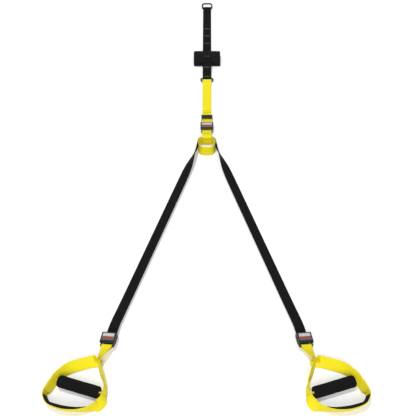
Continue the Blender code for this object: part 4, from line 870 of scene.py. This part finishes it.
def fill_worn_edge(b, start):
    """Where a rounded edge's normal leaves the face's own normal: 1 along outer corners, broken by noise."""
    rounded = b.put("Bevel", {"Radius": start["Width"]}, samples=4).outputs[0]
    face = b.put("NewGeometry").outputs["Normal"]
    same = b.put("VectorMath", {0: rounded, 1: face}, operation="DOT_PRODUCT").outputs["Value"]
    bare = b.clear(b.math("SUBTRACT", 1.0, same), 0.02, 0.2)
    return {"Mask": b.times(bare, b.clear(b.noise(start["Place"], 420.0), 0.42, 0.6)), "Normal": rounded}


# Each shared group: what fills it, its inputs and its outputs
SHARED = {
    "Herringbone weave": (fill_weave, {"Cloth": "Vector", "Rib": "Float", "Column": "Float"},
                          {"Height": "Float", "Selvedge": "Float"}),
    "Mottle": (fill_mottle, {"Place": "Vector", "Scale": "Float"}, {"Mask": "Float", "Fine": "Float"}),
    "Worn edge": (fill_worn_edge, {"Place": "Vector", "Width": "Float"}, {"Mask": "Float", "Normal": "Vector"}),
}


def shared_group(name):
    """A node group with named sockets, filled once and used by several materials."""
    if name in bpy.data.node_groups:
        return bpy.data.node_groups[name]
    fill, inputs, outputs = SHARED[name]
    tree = bpy.data.node_groups.new(name, "ShaderNodeTree")
    for way, sockets in (("INPUT", inputs), ("OUTPUT", outputs)):
        for key, kind in sockets.items():
            tree.interface.new_socket(name=key, in_out=way, socket_type="NodeSocket" + kind)
    start, end = tree.nodes.new("NodeGroupInput"), tree.nodes.new("NodeGroupOutput")
    for key, socket in fill(Bench(tree), start.outputs).items():
        tree.links.new(socket, end.inputs[key])
    return tree


def toned(colour, share=1.0):
    """A colour times a share, for the shade in the valleys or the dust on top."""
    return (*(min(c * share, 1.0) for c in colour[:3]), 1.0)


def webbing_material(name, colour, shade, sheen, gloss):
    """Woven webbing: ribs from the weave group, painted shade in the valleys and along the selvedge, slow fading and
    fuzz.
    """
    b = Coat(name, 26.0, 0.82, Sheen_Weight=sheen, Sheen_Roughness=0.45, Specular_IOR_Level=gloss)
    height, selvedge = b.shared("Herringbone weave", {"Cloth": b.cloth(), "Rib": WEAVE_RIB, "Column": WEAVE_COLUMN})
    # Painted shade: the valleys between the ribs are mixed towards the shade colour
    yarn_with_painted_shade = b.mix(b.clear(height, 0.15, 0.75), shade, toned(colour))
    faded = b.mix(b.times(b.mask, 0.16), yarn_with_painted_shade, toned(colour, 1.25))
    # Painted shade: the selvedge is mixed towards the shade colour
    return b.send(Base_Color=b.mix(b.times(selvedge, 0.45), faded, shade), Roughness=b.rough(0.14, 0.74),
                  Normal=b.bump(height, 0.00035, 0.8))


def thread_material(name, colour):
    """Twisted sewing thread: a fine diagonal twist and a soft shine."""
    b = Coat(name, 260.0, 0.55, Sheen_Weight=0.2)
    twist = b.put("TexWave", {"Vector": b.place, "Scale": 900.0, "Distortion": 1.5}, bands_direction="DIAGONAL")
    return b.send(Base_Color=b.mix(b.mask, toned(colour, 0.72), toned(colour)),
                  Normal=b.bump(twist.outputs["Fac"], 0.0001, 0.5))


def fabric_material(name, colour, pitch):
    """Plain-woven pad cloth: crossed yarns of a pitch on the object's own coordinates, painted shade between the yarns,
    dust and fading.
    """
    b = Coat(name, 30.0, 0.88, Sheen_Weight=0.03, Sheen_Roughness=0.5, Specular_IOR_Level=0.12)
    waves = [b.math("SINE", b.times(part, 2 * math.pi / pitch)) for part in b.put("SeparateXYZ", {0: b.place}).outputs]
    crossed = b.math("ADD", b.times(waves[0], waves[1]), b.times(waves[2], 0.5))
    height = b.math("MULTIPLY_ADD", crossed, 0.3, 0.5)
    # Painted shade: the low places between the crossed yarns go to 0.6 of the colour
    yarn_with_painted_shade = b.mix(b.clear(height, 0.25, 0.75), toned(colour, 0.6), toned(colour))
    return b.send(Base_Color=b.mix(b.times(b.mask, 0.25), yarn_with_painted_shade, toned(colour, 1.6)), Roughness=b.rough(0.12, 0.82),
                  Normal=b.bump(height, 0.0003, 0.7))


def foam_material(name, colour):
    """Closed-cell foam: small round cells from a Voronoi distance with painted shade in the grooves between them, worn
    lighter where hands rub it.
    """
    b = Coat(name, 40.0, 0.9, Specular_IOR_Level=0.15, Sheen_Weight=0.02)
    cells = b.put("TexVoronoi", {"Vector": b.place, "Scale": 900.0}).outputs["Distance"]
    # Painted shade: away from each cell's middle, where the bump sinks into grooves, the colour goes to 0.6
    skin_with_painted_shade = b.mix(b.clear(cells, 0.1, 0.7), toned(colour), toned(colour, 0.6))
    pores = b.math("MULTIPLY_ADD", b.fine, 0.4, b.times(cells, -1.0))
    return b.send(Base_Color=b.mix(b.times(b.mask, 0.3), skin_with_painted_shade, toned(colour, 1.7)), Roughness=b.rough(0.12, 0.8),
                  Normal=b.bump(pores, 0.00025, 0.55))


def coated_metal(name, colour, bare, rough):
    """Powder-coated metal: orange peel, smudged gloss, and bare metal along worn corners."""
    b = Coat(name, 55.0, rough, Coat_Weight=0.05, Coat_Roughness=0.35, Specular_IOR_Level=0.3)
    edge, normal = b.shared("Worn edge", {"Place": b.place, "Width": 0.0006})
    coat = b.mix(b.times(b.mask, 0.35), toned(colour), toned(colour, 1.5))
    worn = b.times(edge, 0.55)
    return b.send(Base_Color=b.mix(worn, coat, toned(bare)), Metallic=b.times(worn, 0.9),
                  Roughness=b.math("MULTIPLY_ADD", b.mask, 0.16, rough - 0.08),
                  Normal=b.bump(b.noise(b.place, 700.0, 2.0), 0.00006, 0.5, Normal=normal))


def plain_metal(name, colour):
    """Drawn steel: fine scratches along X and a little tarnish."""
    b = Coat(name, 120.0, 0.3, 1.0)
    drawn = b.put("Mapping", {"Vector": b.place, "Scale": (30.0, 900.0, 900.0)}).outputs[0]
    return b.send(Base_Color=b.mix(b.mask, toned(colour, 0.7), toned(colour)), Roughness=b.rough(0.2, 0.22),
                  Normal=b.bump(b.noise(drawn, 1.0, 2.0), 0.00003, 0.4))


def moulded_plastic(name, colour):
    """Moulded plastic with a fine spark-eroded grain."""
    b = Coat(name, 60.0, 0.55, Specular_IOR_Level=0.45)
    return b.send(Base_Color=b.mix(b.times(b.mask, 0.3), toned(colour), toned(colour, 1.3)),
                  Roughness=b.rough(0.15, 0.5), Normal=b.bump(b.noise(b.place, 2600.0, 1.0), 0.00004, 0.5))


def plate_material(name, rim, panel, stripe):
    """A moulded plate with a pale bare panel and one plain band, both by place on the cloth map."""
    b = Coat(name, 90.0, 0.5, Specular_IOR_Level=0.4)
    over, along = b.put("SeparateXYZ", {0: b.cloth()}).outputs[:2]
    side = b.below(b.math("ABSOLUTE", over), LABEL_WIDTH / 2 - PANEL_RIM)
    on_panel = b.times(side, b.math("SUBTRACT", b.below(along, PANEL_HIGH), b.below(along, PANEL_LOW)))
    face = b.mix(b.below(along, BAND_HIGH), toned(panel), toned(stripe))
    tone = b.mix(on_panel, toned(rim), face)
    height = b.math("MULTIPLY_ADD", b.noise(b.place, 2400.0, 1.0), 0.06, b.times(on_panel, -1.0))
    return b.send(Base_Color=b.mix(b.times(b.mask, 0.2), tone, toned(rim, 0.8)), Roughness=b.rough(0.2, 0.42),
                  Normal=b.bump(height, 0.0002, 0.6))


def floor_material(name):
    """Matt white paper with a faint tooth. Rays that see it get a little extra white, so only shadows show."""
    b = Coat(name, None, 0.95, Specular_IOR_Level=0.1, Base_Color=(0.86, 0.86, 0.86, 1), Emission_Strength=0.22)
    ray = b.put("LightPath").outputs
    seen = b.math("ADD", b.math("ADD", ray["Is Camera Ray"], ray["Is Glossy Ray"]), ray["Is Transmission Ray"])
    return b.send(Normal=b.bump(b.noise(b.place, 900.0, 2.0), 0.00005, 0.3),
                  Emission_Color=b.put("CombineColor", {0: seen, 1: seen, 2: seen}).outputs[0])


def finish(key):
    """A material by its plain name, written the first time that it is asked for."""
    name = key.replace("_", " ").capitalize()
    if name in bpy.data.materials:
        return bpy.data.materials[name]
    tones = bpy.context.scene.trainer_tones
    write, *values = {
        # Painted shade for the yellow webbing: its valleys and selvedge go towards the yellow shade tone
        "yellow_webbing": (webbing_material, tones.yellow, toned(tones.yellow_shade), 0.08, 0.3),
        # Painted shade for the black webbing: its valleys and selvedge go towards the black at 0.35
        "black_webbing": (webbing_material, tones.black, toned(tones.black, 0.35), 0.02, 0.14),
        "yellow_thread": (thread_material, tones.yellow_thread),
        "grey_thread": (thread_material, tones.grey_thread),
        "pad_cloth": (fabric_material, tones.pad_cloth, 0.0014),
        "grip_foam": (foam_material, tones.foam),
        "coated_steel": (coated_metal, tones.steel, (0.42, 0.41, 0.40), 0.36),
        "coated_zinc": (coated_metal, tones.zinc, (0.45, 0.45, 0.44), 0.46),
        "bright_steel": (plain_metal, (0.56, 0.57, 0.58)),
        "tube_plastic": (moulded_plastic, (0.04, 0.04, 0.042)),
        "plate": (plate_material, tones.label_rim, tones.label_panel, tones.label_band),
        "studio_floor": (floor_material,),
    }[key]
    return write(name, *values)


# Values that a user would change
TINT = {"subtype": "COLOR", "min": 0, "max": 1}
LENGTH = {"subtype": "DISTANCE", "unit": "LENGTH"}
POWER = {"subtype": "POWER", "unit": "POWER", "min": 0}


class TrainerTones(bpy.types.PropertyGroup):
    """Colours of the cloths, foams, metals and plates."""

    yellow: bpy.props.FloatVectorProperty(
        name="Yellow webbing", description="The yellow webbing's raised yarns", default=(0.97, 0.86, 0.012), **TINT)
    # Painted shade: the colour that the yellow webbing's valleys and selvedge are darkened towards
    yellow_shade: bpy.props.FloatVectorProperty(
        name="Yellow shade", description="Deep between the yellow yarns", default=(0.82, 0.60, 0.006), **TINT)
    yellow_thread: bpy.props.FloatVectorProperty(
        name="Yellow thread", description="Thread on the yellow webbing", default=(0.56, 0.42, 0.03), **TINT)
    black: bpy.props.FloatVectorProperty(
        name="Black webbing", description="The black webbing's raised yarns", default=(0.0060, 0.0063, 0.0063), **TINT)
    grey_thread: bpy.props.FloatVectorProperty(
        name="Grey thread", description="Thread on the black webbing", default=(0.34, 0.34, 0.33), **TINT)
    pad_cloth: bpy.props.FloatVectorProperty(
        name="Pad cloth", description="The door pad and the cradle linings", default=(0.0095, 0.0098, 0.0100), **TINT)
    foam: bpy.props.FloatVectorProperty(
        name="Grip foam", description="The foam grips", default=(0.0062, 0.0062, 0.0066), **TINT)
    steel: bpy.props.FloatVectorProperty(
        name="Ring coat", description="Coating of the steel rings", default=(0.004, 0.004, 0.0045), **TINT)
    zinc: bpy.props.FloatVectorProperty(
        name="Buckle coat", description="Coating of the buckle frames and levers", default=(0.012, 0.0125, 0.013),
        **TINT)
    label_rim: bpy.props.FloatVectorProperty(
        name="Plate rim", description="Rim of the bare plates on the levers", default=(0.115, 0.125, 0.125), **TINT)
    label_panel: bpy.props.FloatVectorProperty(
        name="Plate panel", description="Pale panel of the plates", default=(0.62, 0.62, 0.61), **TINT)
    label_band: bpy.props.FloatVectorProperty(
        name="Plate band", description="Plain band across the plates", default=(0.50, 0.035, 0.02), **TINT)


class TrainerSizes(bpy.types.PropertyGroup):
    """Sizes of the soft detail, which leave the CAD dimensions as they are."""

    pad_crown: bpy.props.FloatProperty(
        name="Pad crown", description="How far the door pad's top swells at its middle", default=0.0016, min=0,
        max=0.004, **LENGTH)
    lining_crown: bpy.props.FloatProperty(
        name="Lining crown", description="How far the cradle lining thins towards its long edges", default=0.0010,
        min=0, max=0.006, **LENGTH)
    foam_dent: bpy.props.FloatProperty(
        name="Foam dents", description="Depth of the slow dents in the foam grips", default=0.0003, min=0, max=0.002,
        **LENGTH)


class TrainerStage(bpy.types.PropertyGroup):
    """The floor, the lamps and the camera."""

    floor_reach: bpy.props.FloatProperty(
        name="Floor reach", description="Half the side of the floor", default=14.0, min=3, **LENGTH)
    sky: bpy.props.FloatProperty(
        name="Sky", description="Strength of the even light from all round", default=0.38, min=0, max=2)
    key: bpy.props.FloatProperty(
        name="Key lamp", description="Power of the high lamp on the left", default=330.0, **POWER)
    fill: bpy.props.FloatProperty(
        name="Fill lamp", description="Power of the wide lamp behind the camera", default=110.0, **POWER)
    lens: bpy.props.FloatProperty(
        name="Lens", description="Focal length of the camera in millimetres", default=49.587, min=10)
    pitch: bpy.props.FloatProperty(
        name="Pitch", description="How far the camera is turned up from looking straight down", subtype="ANGLE",
        unit="ROTATION", default=math.radians(33))


# Anchor end


def make_rings():
    """Two rings of coated wire, each bent with a straight bar for the webbing."""
    far = ring_line(ANCHOR_BAR_Y, 1, ANCHOR_RING_ROOM, ANCHOR_RING_REACH, ANCHOR_RING_CORNER, RING_RADIUS + PLY_GAP)
    near = ring_line(LINK_BAR_Y, -1, LINK_RING_ROOM, LINK_RING_REACH, LINK_RING_CORNER, RING_HEIGHT)
    seat(tube("anchor_d_ring", far, RING_RADIUS, 24, "coated_steel"), "anchor_end", "steel", "anchor_ring")
    seat(tube("link_d_ring", near, RING_RADIUS, 24, "coated_steel"), "link", "steel", "link_ring")


def make_anchor_strap():
    """The black strap in two plies round both rings, with its bar tacks."""
    run = Run(anchor_line(), steps=3)
    strap("anchor_webbing", run, "black_webbing", "anchor", "anchor_strap")
    off = [np.where(run.out[:, 2] > 0, np.abs(run.path[:, 1] - y), np.inf) for y in ANCHOR_TACKS]
    tacks = [tack(run, run.length[int(np.argmin(row))], ANCHOR_TACK_SHARE * HALF) for row in off]
    sew("anchor_bar_tacks", tacks, "grey_thread", "anchor", "black_webbing")


def pillow(crown):
    """The door pad's boxy cushion: rings of a superellipse, drawn in at top and bottom.

    A ring at turn t has the plan (cos a, sin a) to a small power, times a power of cos t, and its height
    is a power of sin t. The top is raised by crown (1 - x^2)(1 - y^2), and puckers run in from the rim
    as a short sine.
    """
    t, a = np.linspace(-0.5 * math.pi, 0.5 * math.pi, 40)[1:-1, None], circle(96)
    radius = np.cos(t) ** PAD_SIDE_POWER
    x, y = radius * power(np.cos(a), PAD_EDGES_POWER), radius * power(np.sin(a), PAD_EDGES_POWER)
    z = power(np.sin(t), PAD_RISE_POWER) + 0 * a
    swell = crown * (1 - x ** 2) * (1 - y ** 2) * (z > 0.5)
    pucker = PUCKER_DEPTH * np.sin(a * PUCKERS) * np.exp(-((radius - PUCKER_AT) / PUCKER_SPREAD) ** 2)
    height = PAD_HEIGHT / 2 * (1 + z) + swell + pucker
    return np.stack([PAD_WIDTH / 2 * x, PAD_MIDDLE_Y + PAD_LENGTH / 2 * y, np.maximum(height, 0)], axis=-1)


def carve(piece, grid):
    """Cuts the space inside a closed grid out of a piece, and keeps the result as its mesh."""
    tool = surface("channel", grid, "pad_cloth")
    cut = piece.modifiers.new("slot", "BOOLEAN")
    cut.operation, cut.solver, cut.object = "DIFFERENCE", "EXACT", tool
    bpy.context.view_layer.update()
    graph = bpy.context.evaluated_depsgraph_get()
    mesh = bpy.data.meshes.new_from_object(piece.evaluated_get(graph))
    piece.modifiers.clear()
    piece.data = mesh
    bpy.data.objects.remove(tool)
    mesh.set_sharp_from_angle(angle=math.radians(50))


def piping(name, half_long, half_short, corner, y, height, radius):
    """A thin cord round a rectangle with quarter-circle corners, its middle on the centre line at y."""
    corners = [arc((sx * (half_long - corner), y + sy * (half_short - corner)), corner, start, start + 0.5, 6)
               for sx, sy, start in ((1, 1, 0.0), (-1, 1, 0.5), (-1, -1, 1.0), (1, -1, 1.5))]
    plan = np.vstack(corners)
    path = np.column_stack([plan, np.full(len(plan), height)])
    seat(tube(name, path, radius, 10, "pad_cloth"), "anchor", "pad_fabric")


def make_door_pad():
    """The door pad: a firm sewn cushion with piping round its rims and a bound slot for the strap."""
    pad = capped("door_pad", pillow(bpy.context.scene.trainer_sizes.pad_crown), "pad_cloth")
    entry, slit = pad_run()
    way = unit(slit - entry) * CHANNEL_PAST
    channel = Run(in_long_plane([entry - way, (entry + slit) / 2, slit + way]))
    half, room = HALF + CHANNEL_ROOM, PAIR_HALF + WEBBING_THICK / 2 + CHANNEL_ROOM
    carve(pad, channel.sweep(np.array((half, half, -half, -half)), np.array((-room, room, room, -room))))
    seat(pad, "anchor", "pad_fabric", "door_pad_cover", "door_pad_foam")
    for name, height in (("door_pad_top_piping", PAD_HEIGHT - PIPING_UNDER_TOP),
                         ("door_pad_floor_piping", PIPING_OVER_FLOOR)):
        piping(name, PAD_WIDTH / 2 - PIPING_RADIUS, PAD_LENGTH / 2 - PIPING_RADIUS, PIPING_CORNER, PAD_MIDDLE_Y,
               height, PIPING_RADIUS)
    piping("door_pad_slot_binding", HALF + BINDING_OUT, BINDING_HALF, BINDING_CORNER, slit[0] + BINDING_BACK,
           PAD_HEIGHT + BINDING_RISE, BINDING_RADIUS)


# Extension and buckles


def make_extension():
    """Yellow webbing through the link ring: the loop stays with the ring, and the run to the buckle shortens."""
    run = Run(extension_line(), steps=3)
    fold = int(np.argmax(run.path[:, 1]))
    gripped_y = TOP_BUCKLE_Y + NOSE_END + GRIP_ROOM
    upper = np.interp(EXTENSION_CUT, run.path[:fold, 1], run.length[:fold])
    lower, gripped = np.interp((-EXTENSION_CUT, -gripped_y), -run.path[fold:, 1], run.length[fold:])
    tacks = [tack(run, along, EXTENSION_TACK_SHARE * HALF, -1) for along in EXTENSION_TACKS]
    for name, first, last, body in (
            ("extension_loop_webbing", upper, lower, "link"), ("extension_upper_webbing", 0.0, upper, "link"),
            ("extension_webbing", lower, gripped - 2 * PLY_GAP, "link"),
            ("extension_buckle_webbing", gripped, run.length[-1] - EXTENSION_END_SHORT, "top_buckle")):
        piece = strap(name, run.cut(first, last), "yellow_webbing", body, "extension_strap", start=first)
        if name in ("extension_upper_webbing", "extension_webbing"):
            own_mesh(piece)
    stitches = sew("extension_seam_stitches", tacks, "yellow_thread", "link", "yellow_webbing")
    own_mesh(stitches)


def make_plates():
    """The bare plates let into the three levers, with a pale panel and a plain band instead of any mark.

    The plan is a superellipse, (cos a, sin a) to a small power, shrunk in at the top by a small round.
    """
    a = circle(96)
    plan = power(np.column_stack([np.cos(a), np.sin(a)]), LABEL_POWER) * (LABEL_WIDTH / 2, LABEL_LENGTH / 2)
    rings = [*LABEL_RIM_RINGS, *((share, 0.0) for share in LABEL_FACE_SHARES)]
    grid = np.array([np.column_stack([plan * share, np.full(len(plan), z)]) for share, z in rings])
    flat = np.vstack([grid.reshape(-1, 3)[:, :2], np.zeros((2, 2))])
    spot = np.array((0, LEVER_FRONT - 2 * LEVER_CROWN - LABEL_LENGTH / 2,
                     BUCKLE_HEIGHT + LEVER_GAP + LEVER_THICK + LABEL_PROUD))
    places = [("top", Matrix.Translation((0, TOP_BUCKLE_Y, 0)))]
    places += [(word, leg_buckle_place(side)) for side, word in SIDES]
    for word, place in places:
        world = (grid + spot) @ np.array(place.to_3x3()).T + np.array(place.translation)
        seat(capped(word + "_plate", world, "plate", flat), word + "_cam", "label", word + "_lever_label")


def make_hardware():
    """Coats for the frames, levers, pins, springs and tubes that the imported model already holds."""
    coats = {"_buckle_frame": "coated_zinc", "_cam_lever": "coated_zinc", "_cam_pin": "bright_steel",
             "_cam_spring": "bright_steel", "_grip_tube": "tube_plastic"}
    for name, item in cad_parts.items():
        for ending, key in coats.items():
            if name.endswith(ending):
                item.data.materials.clear()
                item.data.materials.append(finish(key))


# Yoke and legs


def make_yoke():
    """The yoke, the locking loop that stands on its edge, and the main strap behind it."""
    yoke, bridge = Run(yoke_line(), steps=3), Run(main_line(), UP, steps=3)
    strap("yoke_webbing", yoke, "yellow_webbing", "yoke", "yoke_strap")
    strap("locking_loop_webbing", Run(*locking_line(), steps=3), "yellow_webbing", "yoke", "locking_loop")
    strap("main_strap_webbing", bridge.cut(BRIDGE_KEEP, bridge.length[-1] - BRIDGE_KEEP), "black_webbing", "yoke",
          "main_strap_bridge")
    crest = yoke.length[int(np.argmax(np.where(yoke.out[:, 2] > 0.5, yoke.path[:, 2], -1)))]
    tacks = [tack(yoke, crest + past, YOKE_TACK_SHARE * HALF) for past in YOKE_TACKS]
    sew("yoke_bar_tacks", tacks, "yellow_thread", "yoke", "yellow_webbing")


def make_legs():
    """Both legs: a short turn at the pivot, and the long run that shortens with its buckle."""
    for side, word in SIDES:
        down = leg_way(side)[0]
        run = Run(*leg_rows(side), steps=3)
        start = LEG_TURN_REACH - PIVOT_GAP
        anchor = run.place(start)
        far = LEG_LENGTH - BUCKLE_LEAD - GRIP_ROOM - start
        gripped = np.interp(far, (run.path - anchor) @ down, run.length)
        leg = strap(word + "_leg_webbing", run.cut(start, gripped - 2 * PLY_GAP), "black_webbing", word + "_leg",
                    word + "_leg_strap", start=start)
        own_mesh(leg)
        strap(word + "_buckle_webbing", run.cut(gripped, run.length[-1] - LEG_END_SHORT), "black_webbing",
              word + "_buckle", word + "_leg_strap", start=gripped)
        bridge = Run(main_line(), UP, steps=3)
        if side > 0:
            bridge = Run(bridge.path[::-1], UP)
        near = bridge.place(BRIDGE_KEEP * TURN_NEAR_SHARES)
        reach = TURN_FAR_SHARES * start
        far = run.place(reach)
        turn = Run(np.vstack([near, far]), np.vstack([UP, UP, UP, run.read(run.across, reach)]), steps=4)
        bend = ribbon(word + "_leg_turn_webbing", turn, "black_webbing")
        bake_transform(bend)
        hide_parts(word + "_leg_strap")


# Handles


def make_handles():
    """Hand loops, foot cradles, their linings and the straps through the grips, on both sides."""
    for side, word in SIDES:
        body = word + "_handle"
        loop = Run(*hand_loop_rows(side))
        strap(word + "_hand_loop_webbing", loop, "yellow_webbing", body, word + "_hand_loop_strap")
        path, up, inside = cradle_path(side)
        cradle = Run(path, up)
        strap(word + "_foot_cradle_webbing", cradle, "yellow_webbing", body, word + "_foot_cradle_strap")
        make_lining(side, word, Run(path[PAD_STARTS:PAD_ENDS], up[PAD_STARTS:PAD_ENDS], steps=4))
        along, middle = handle_way(side)[0], handle_place(side, 0, 0, GRIP_DIAMETER / 2)
        core = Run([middle - along * CORE_INNER_REACH, middle, middle + along * CORE_OUTER_REACH], UP, steps=6)
        strap(word + "_grip_core_webbing", core, "yellow_webbing", body, word + "_grip_core_strap",
              half=CORE_WIDTH / 2, thick=CORE_THICK)
        spots = (*CRADLE_FIRST_TACKS, *(cradle.length[-1] - spot for spot in CRADLE_LAST_TACKS))
        tacks = [tack(cradle, spot, CRADLE_TACK_SHARE * HALF, -side) for spot in spots]
        sew(word + "_handle_bar_tacks", tacks, "yellow_thread", body, "yellow_webbing")


def make_lining(side, word, run):
    """The soft lining: thick in the middle of its length as a power of sin s, crowned across."""
    share = (run.length / run.length[-1])[:, None]
    swell = CRADLE_PAD_EDGE_SHARE + (1 - CRADLE_PAD_EDGE_SHARE) * np.sin(math.pi * share) ** LINING_LENGTH_POWER
    over = power(np.cos(circle(40)), LINING_EDGE_POWER) + 0 * share
    crown = bpy.context.scene.trainer_sizes.lining_crown * over ** 2 * swell
    up_share = 0.5 + 0.5 * power(np.sin(circle(40)), LINING_FACE_POWER)
    lift = WEBBING_THICK / 2 + SEWN_ROOM * 2 + up_share * (CRADLE_PAD_THICK * swell - crown)
    grid = run.sweep(CRADLE_PAD_HEIGHT / 2 * over, lift * side)
    piece = surface(word + "_cradle_lining", grid[:, ::side], "pad_cloth")
    seat(piece, word + "_handle", "pad_fabric", word + "_cradle_pad")


def make_grips():
    """Foam sleeves: an outline of radius and length turned round the grip, with slow dents over it."""
    half, radius, bore = GRIP_LENGTH / 2, GRIP_DIAMETER / 2, TUBE_DIAMETER / 2 + TUBE_GAP
    turn = np.linspace(0, 0.5 * math.pi, 12)
    right = np.column_stack([half - GRIP_END_REACH * (1 - np.cos(turn)), radius - GRIP_END_DROP * (1 - np.sin(turn))])
    level = np.linspace(half - GRIP_END_REACH, GRIP_END_REACH - half, 42)[1:-1]
    body = np.column_stack([level, np.full(len(level), radius)])
    outline = np.vstack([[(half, bore)], right, body, right[::-1] * (-1, 1), [(-half, bore)]])
    x, a = outline[:, 0], circle(96)[:, None]
    for side, word in SIDES:
        waves = [np.sin(x * w + a * n + shift) for w, n, shift in zip(DENT_WAVES, DENT_TURNS, (side, 0))]
        dents = (waves[0] * waves[1] - 1.0) * bpy.context.scene.trainer_sizes.foam_dent
        r = outline[:, 1] + np.where(outline[:, 1] > radius - GRIP_END_DROP * DENT_EDGE_SHARE, dents, 0.0)
        along, down = handle_way(side)
        ray = down * np.cos(a)[..., None] + UP * np.sin(a)[..., None]
        grid = handle_place(side, 0, 0, GRIP_DIAMETER / 2) + along * x[:, None] + ray * r[..., None]
        piece = surface(word + "_foam_grip", grid[:, ::side], "grip_foam", along=True)
        seat(piece, word + "_grip", "foam", word + "_grip_foam")


# Stage


def make_stage():
    """A white floor, an even sky, a high key lamp, a wide fill lamp and the camera of the photograph."""
    scene = bpy.context.scene
    stage = scene.trainer_stage
    x, y = np.meshgrid(*[np.linspace(-stage.floor_reach, stage.floor_reach, 5)] * 2)
    surface("studio_floor", np.stack([x, y, np.full_like(x, FLOOR_HEIGHT)], axis=-1), "studio_floor",
                     around=False)
    scene.world = bpy.data.worlds.new("Studio sky")
    scene.world.use_nodes = True
    back = scene.world.node_tree.nodes["Background"].inputs
    back[0].default_value, back[1].default_value = (1.0, 1.0, 1.0, 1.0), stage.sky
    for (name, place, size), strength in zip(LAMPS, (stage.key, stage.fill)):
        lamp = bpy.data.lights.new(name, "AREA")
        lamp.size, lamp.energy = size, strength
        item = bpy.data.objects.new(name, lamp)
        scene.collection.objects.link(item)
        item.location = place
        item.rotation_euler = (-Vector(place)).to_track_quat("-Z", "Y").to_euler()
    view = bpy.data.cameras.new("photo_camera")
    view.lens, view.sensor_width = stage.lens, SENSOR_WIDTH
    scene.camera = bpy.data.objects.new("photo_camera", view)
    scene.collection.objects.link(scene.camera)
    scene.camera.location = CAMERA_PLACE
    scene.camera.rotation_euler = (stage.pitch, 0, 0)
    scene.view_settings.view_transform = "Standard"


# Operators, the panel and the run


class TRAINER_OT_rings(bpy.types.Operator):
    """Makes the two coated steel rings"""

    bl_idname = "trainer.rings"
    bl_label = "Rings"

    def execute(self, context):
        make_rings()
        return {"FINISHED"}


class TRAINER_OT_anchor_strap(bpy.types.Operator):
    """Makes the black anchor strap and its bar tacks"""

    bl_idname = "trainer.anchor_strap"
    bl_label = "Anchor strap"

    def execute(self, context):
        make_anchor_strap()
        return {"FINISHED"}


class TRAINER_OT_door_pad(bpy.types.Operator):
    """Makes the door pad with its piping and slot"""

    bl_idname = "trainer.door_pad"
    bl_label = "Door pad"

    def execute(self, context):
        make_door_pad()
        return {"FINISHED"}


class TRAINER_OT_extension(bpy.types.Operator):
    """Makes the yellow extension strap and its seam"""

    bl_idname = "trainer.extension"
    bl_label = "Extension strap"

    def execute(self, context):
        make_extension()
        return {"FINISHED"}


class TRAINER_OT_hardware(bpy.types.Operator):
    """Coats the buckles, pins, springs and tubes, and makes the bare plates"""

    bl_idname = "trainer.hardware"
    bl_label = "Buckle hardware"

    def execute(self, context):
        make_hardware()
        make_plates()
        return {"FINISHED"}


class TRAINER_OT_yoke(bpy.types.Operator):
    """Makes the yoke, the locking loop and the main strap behind it"""

    bl_idname = "trainer.yoke"
    bl_label = "Yoke and locking loop"

    def execute(self, context):
        make_yoke()
        return {"FINISHED"}


class TRAINER_OT_legs(bpy.types.Operator):
    """Makes both legs of black webbing"""

    bl_idname = "trainer.legs"
    bl_label = "Legs"

    def execute(self, context):
        make_legs()
        return {"FINISHED"}


class TRAINER_OT_handles(bpy.types.Operator):
    """Makes both handles: hand loops, foot cradles, linings and core straps"""

    bl_idname = "trainer.handles"
    bl_label = "Handles"

    def execute(self, context):
        make_handles()
        return {"FINISHED"}


class TRAINER_OT_grips(bpy.types.Operator):
    """Makes both foam grips"""

    bl_idname = "trainer.grips"
    bl_label = "Foam grips"

    def execute(self, context):
        make_grips()
        return {"FINISHED"}


class TRAINER_OT_stage(bpy.types.Operator):
    """Makes the floor, the lamps and the camera"""

    bl_idname = "trainer.stage"
    bl_label = "Stage"

    def execute(self, context):
        make_stage()
        return {"FINISHED"}


OPERATORS = (TRAINER_OT_rings, TRAINER_OT_anchor_strap, TRAINER_OT_door_pad, TRAINER_OT_extension,
             TRAINER_OT_hardware, TRAINER_OT_yoke, TRAINER_OT_legs, TRAINER_OT_handles, TRAINER_OT_grips,
             TRAINER_OT_stage)
GROUPS = (("trainer_tones", TrainerTones), ("trainer_sizes", TrainerSizes), ("trainer_stage", TrainerStage))


class TRAINER_PT_panel(bpy.types.Panel):
    """Lists the settings and the operators in the sidebar"""

    bl_idname = "TRAINER_PT_panel"
    bl_label = "Strap trainer"
    bl_space_type = "VIEW_3D"
    bl_region_type = "UI"
    bl_category = "Trainer"

    def draw(self, context):
        for key, kind in GROUPS:
            column = self.layout.column(heading=kind.__name__)
            for field in kind.__annotations__:
                column.prop(getattr(context.scene, key), field)
        for operator in OPERATORS:
            self.layout.operator(operator.bl_idname)


def register():
    for kind in (*(group for key, group in GROUPS), *OPERATORS, TRAINER_PT_panel):
        bpy.utils.register_class(kind)
    for key, kind in GROUPS:
        setattr(bpy.types.Scene, key, bpy.props.PointerProperty(type=kind))


def unregister():
    for key, kind in GROUPS:
        delattr(bpy.types.Scene, key)
    for kind in (TRAINER_PT_panel, *OPERATORS[::-1], *(group for key, group in GROUPS)):
        bpy.utils.unregister_class(kind)


def main():
    register()
    bpy.ops.trainer.rings()
    bpy.ops.trainer.anchor_strap()
    bpy.ops.trainer.door_pad()
    bpy.ops.trainer.extension()
    bpy.ops.trainer.hardware()
    bpy.ops.trainer.yoke()
    bpy.ops.trainer.legs()
    bpy.ops.trainer.handles()
    bpy.ops.trainer.grips()
    bpy.ops.trainer.stage()


if __name__ == "__main__":
    main()
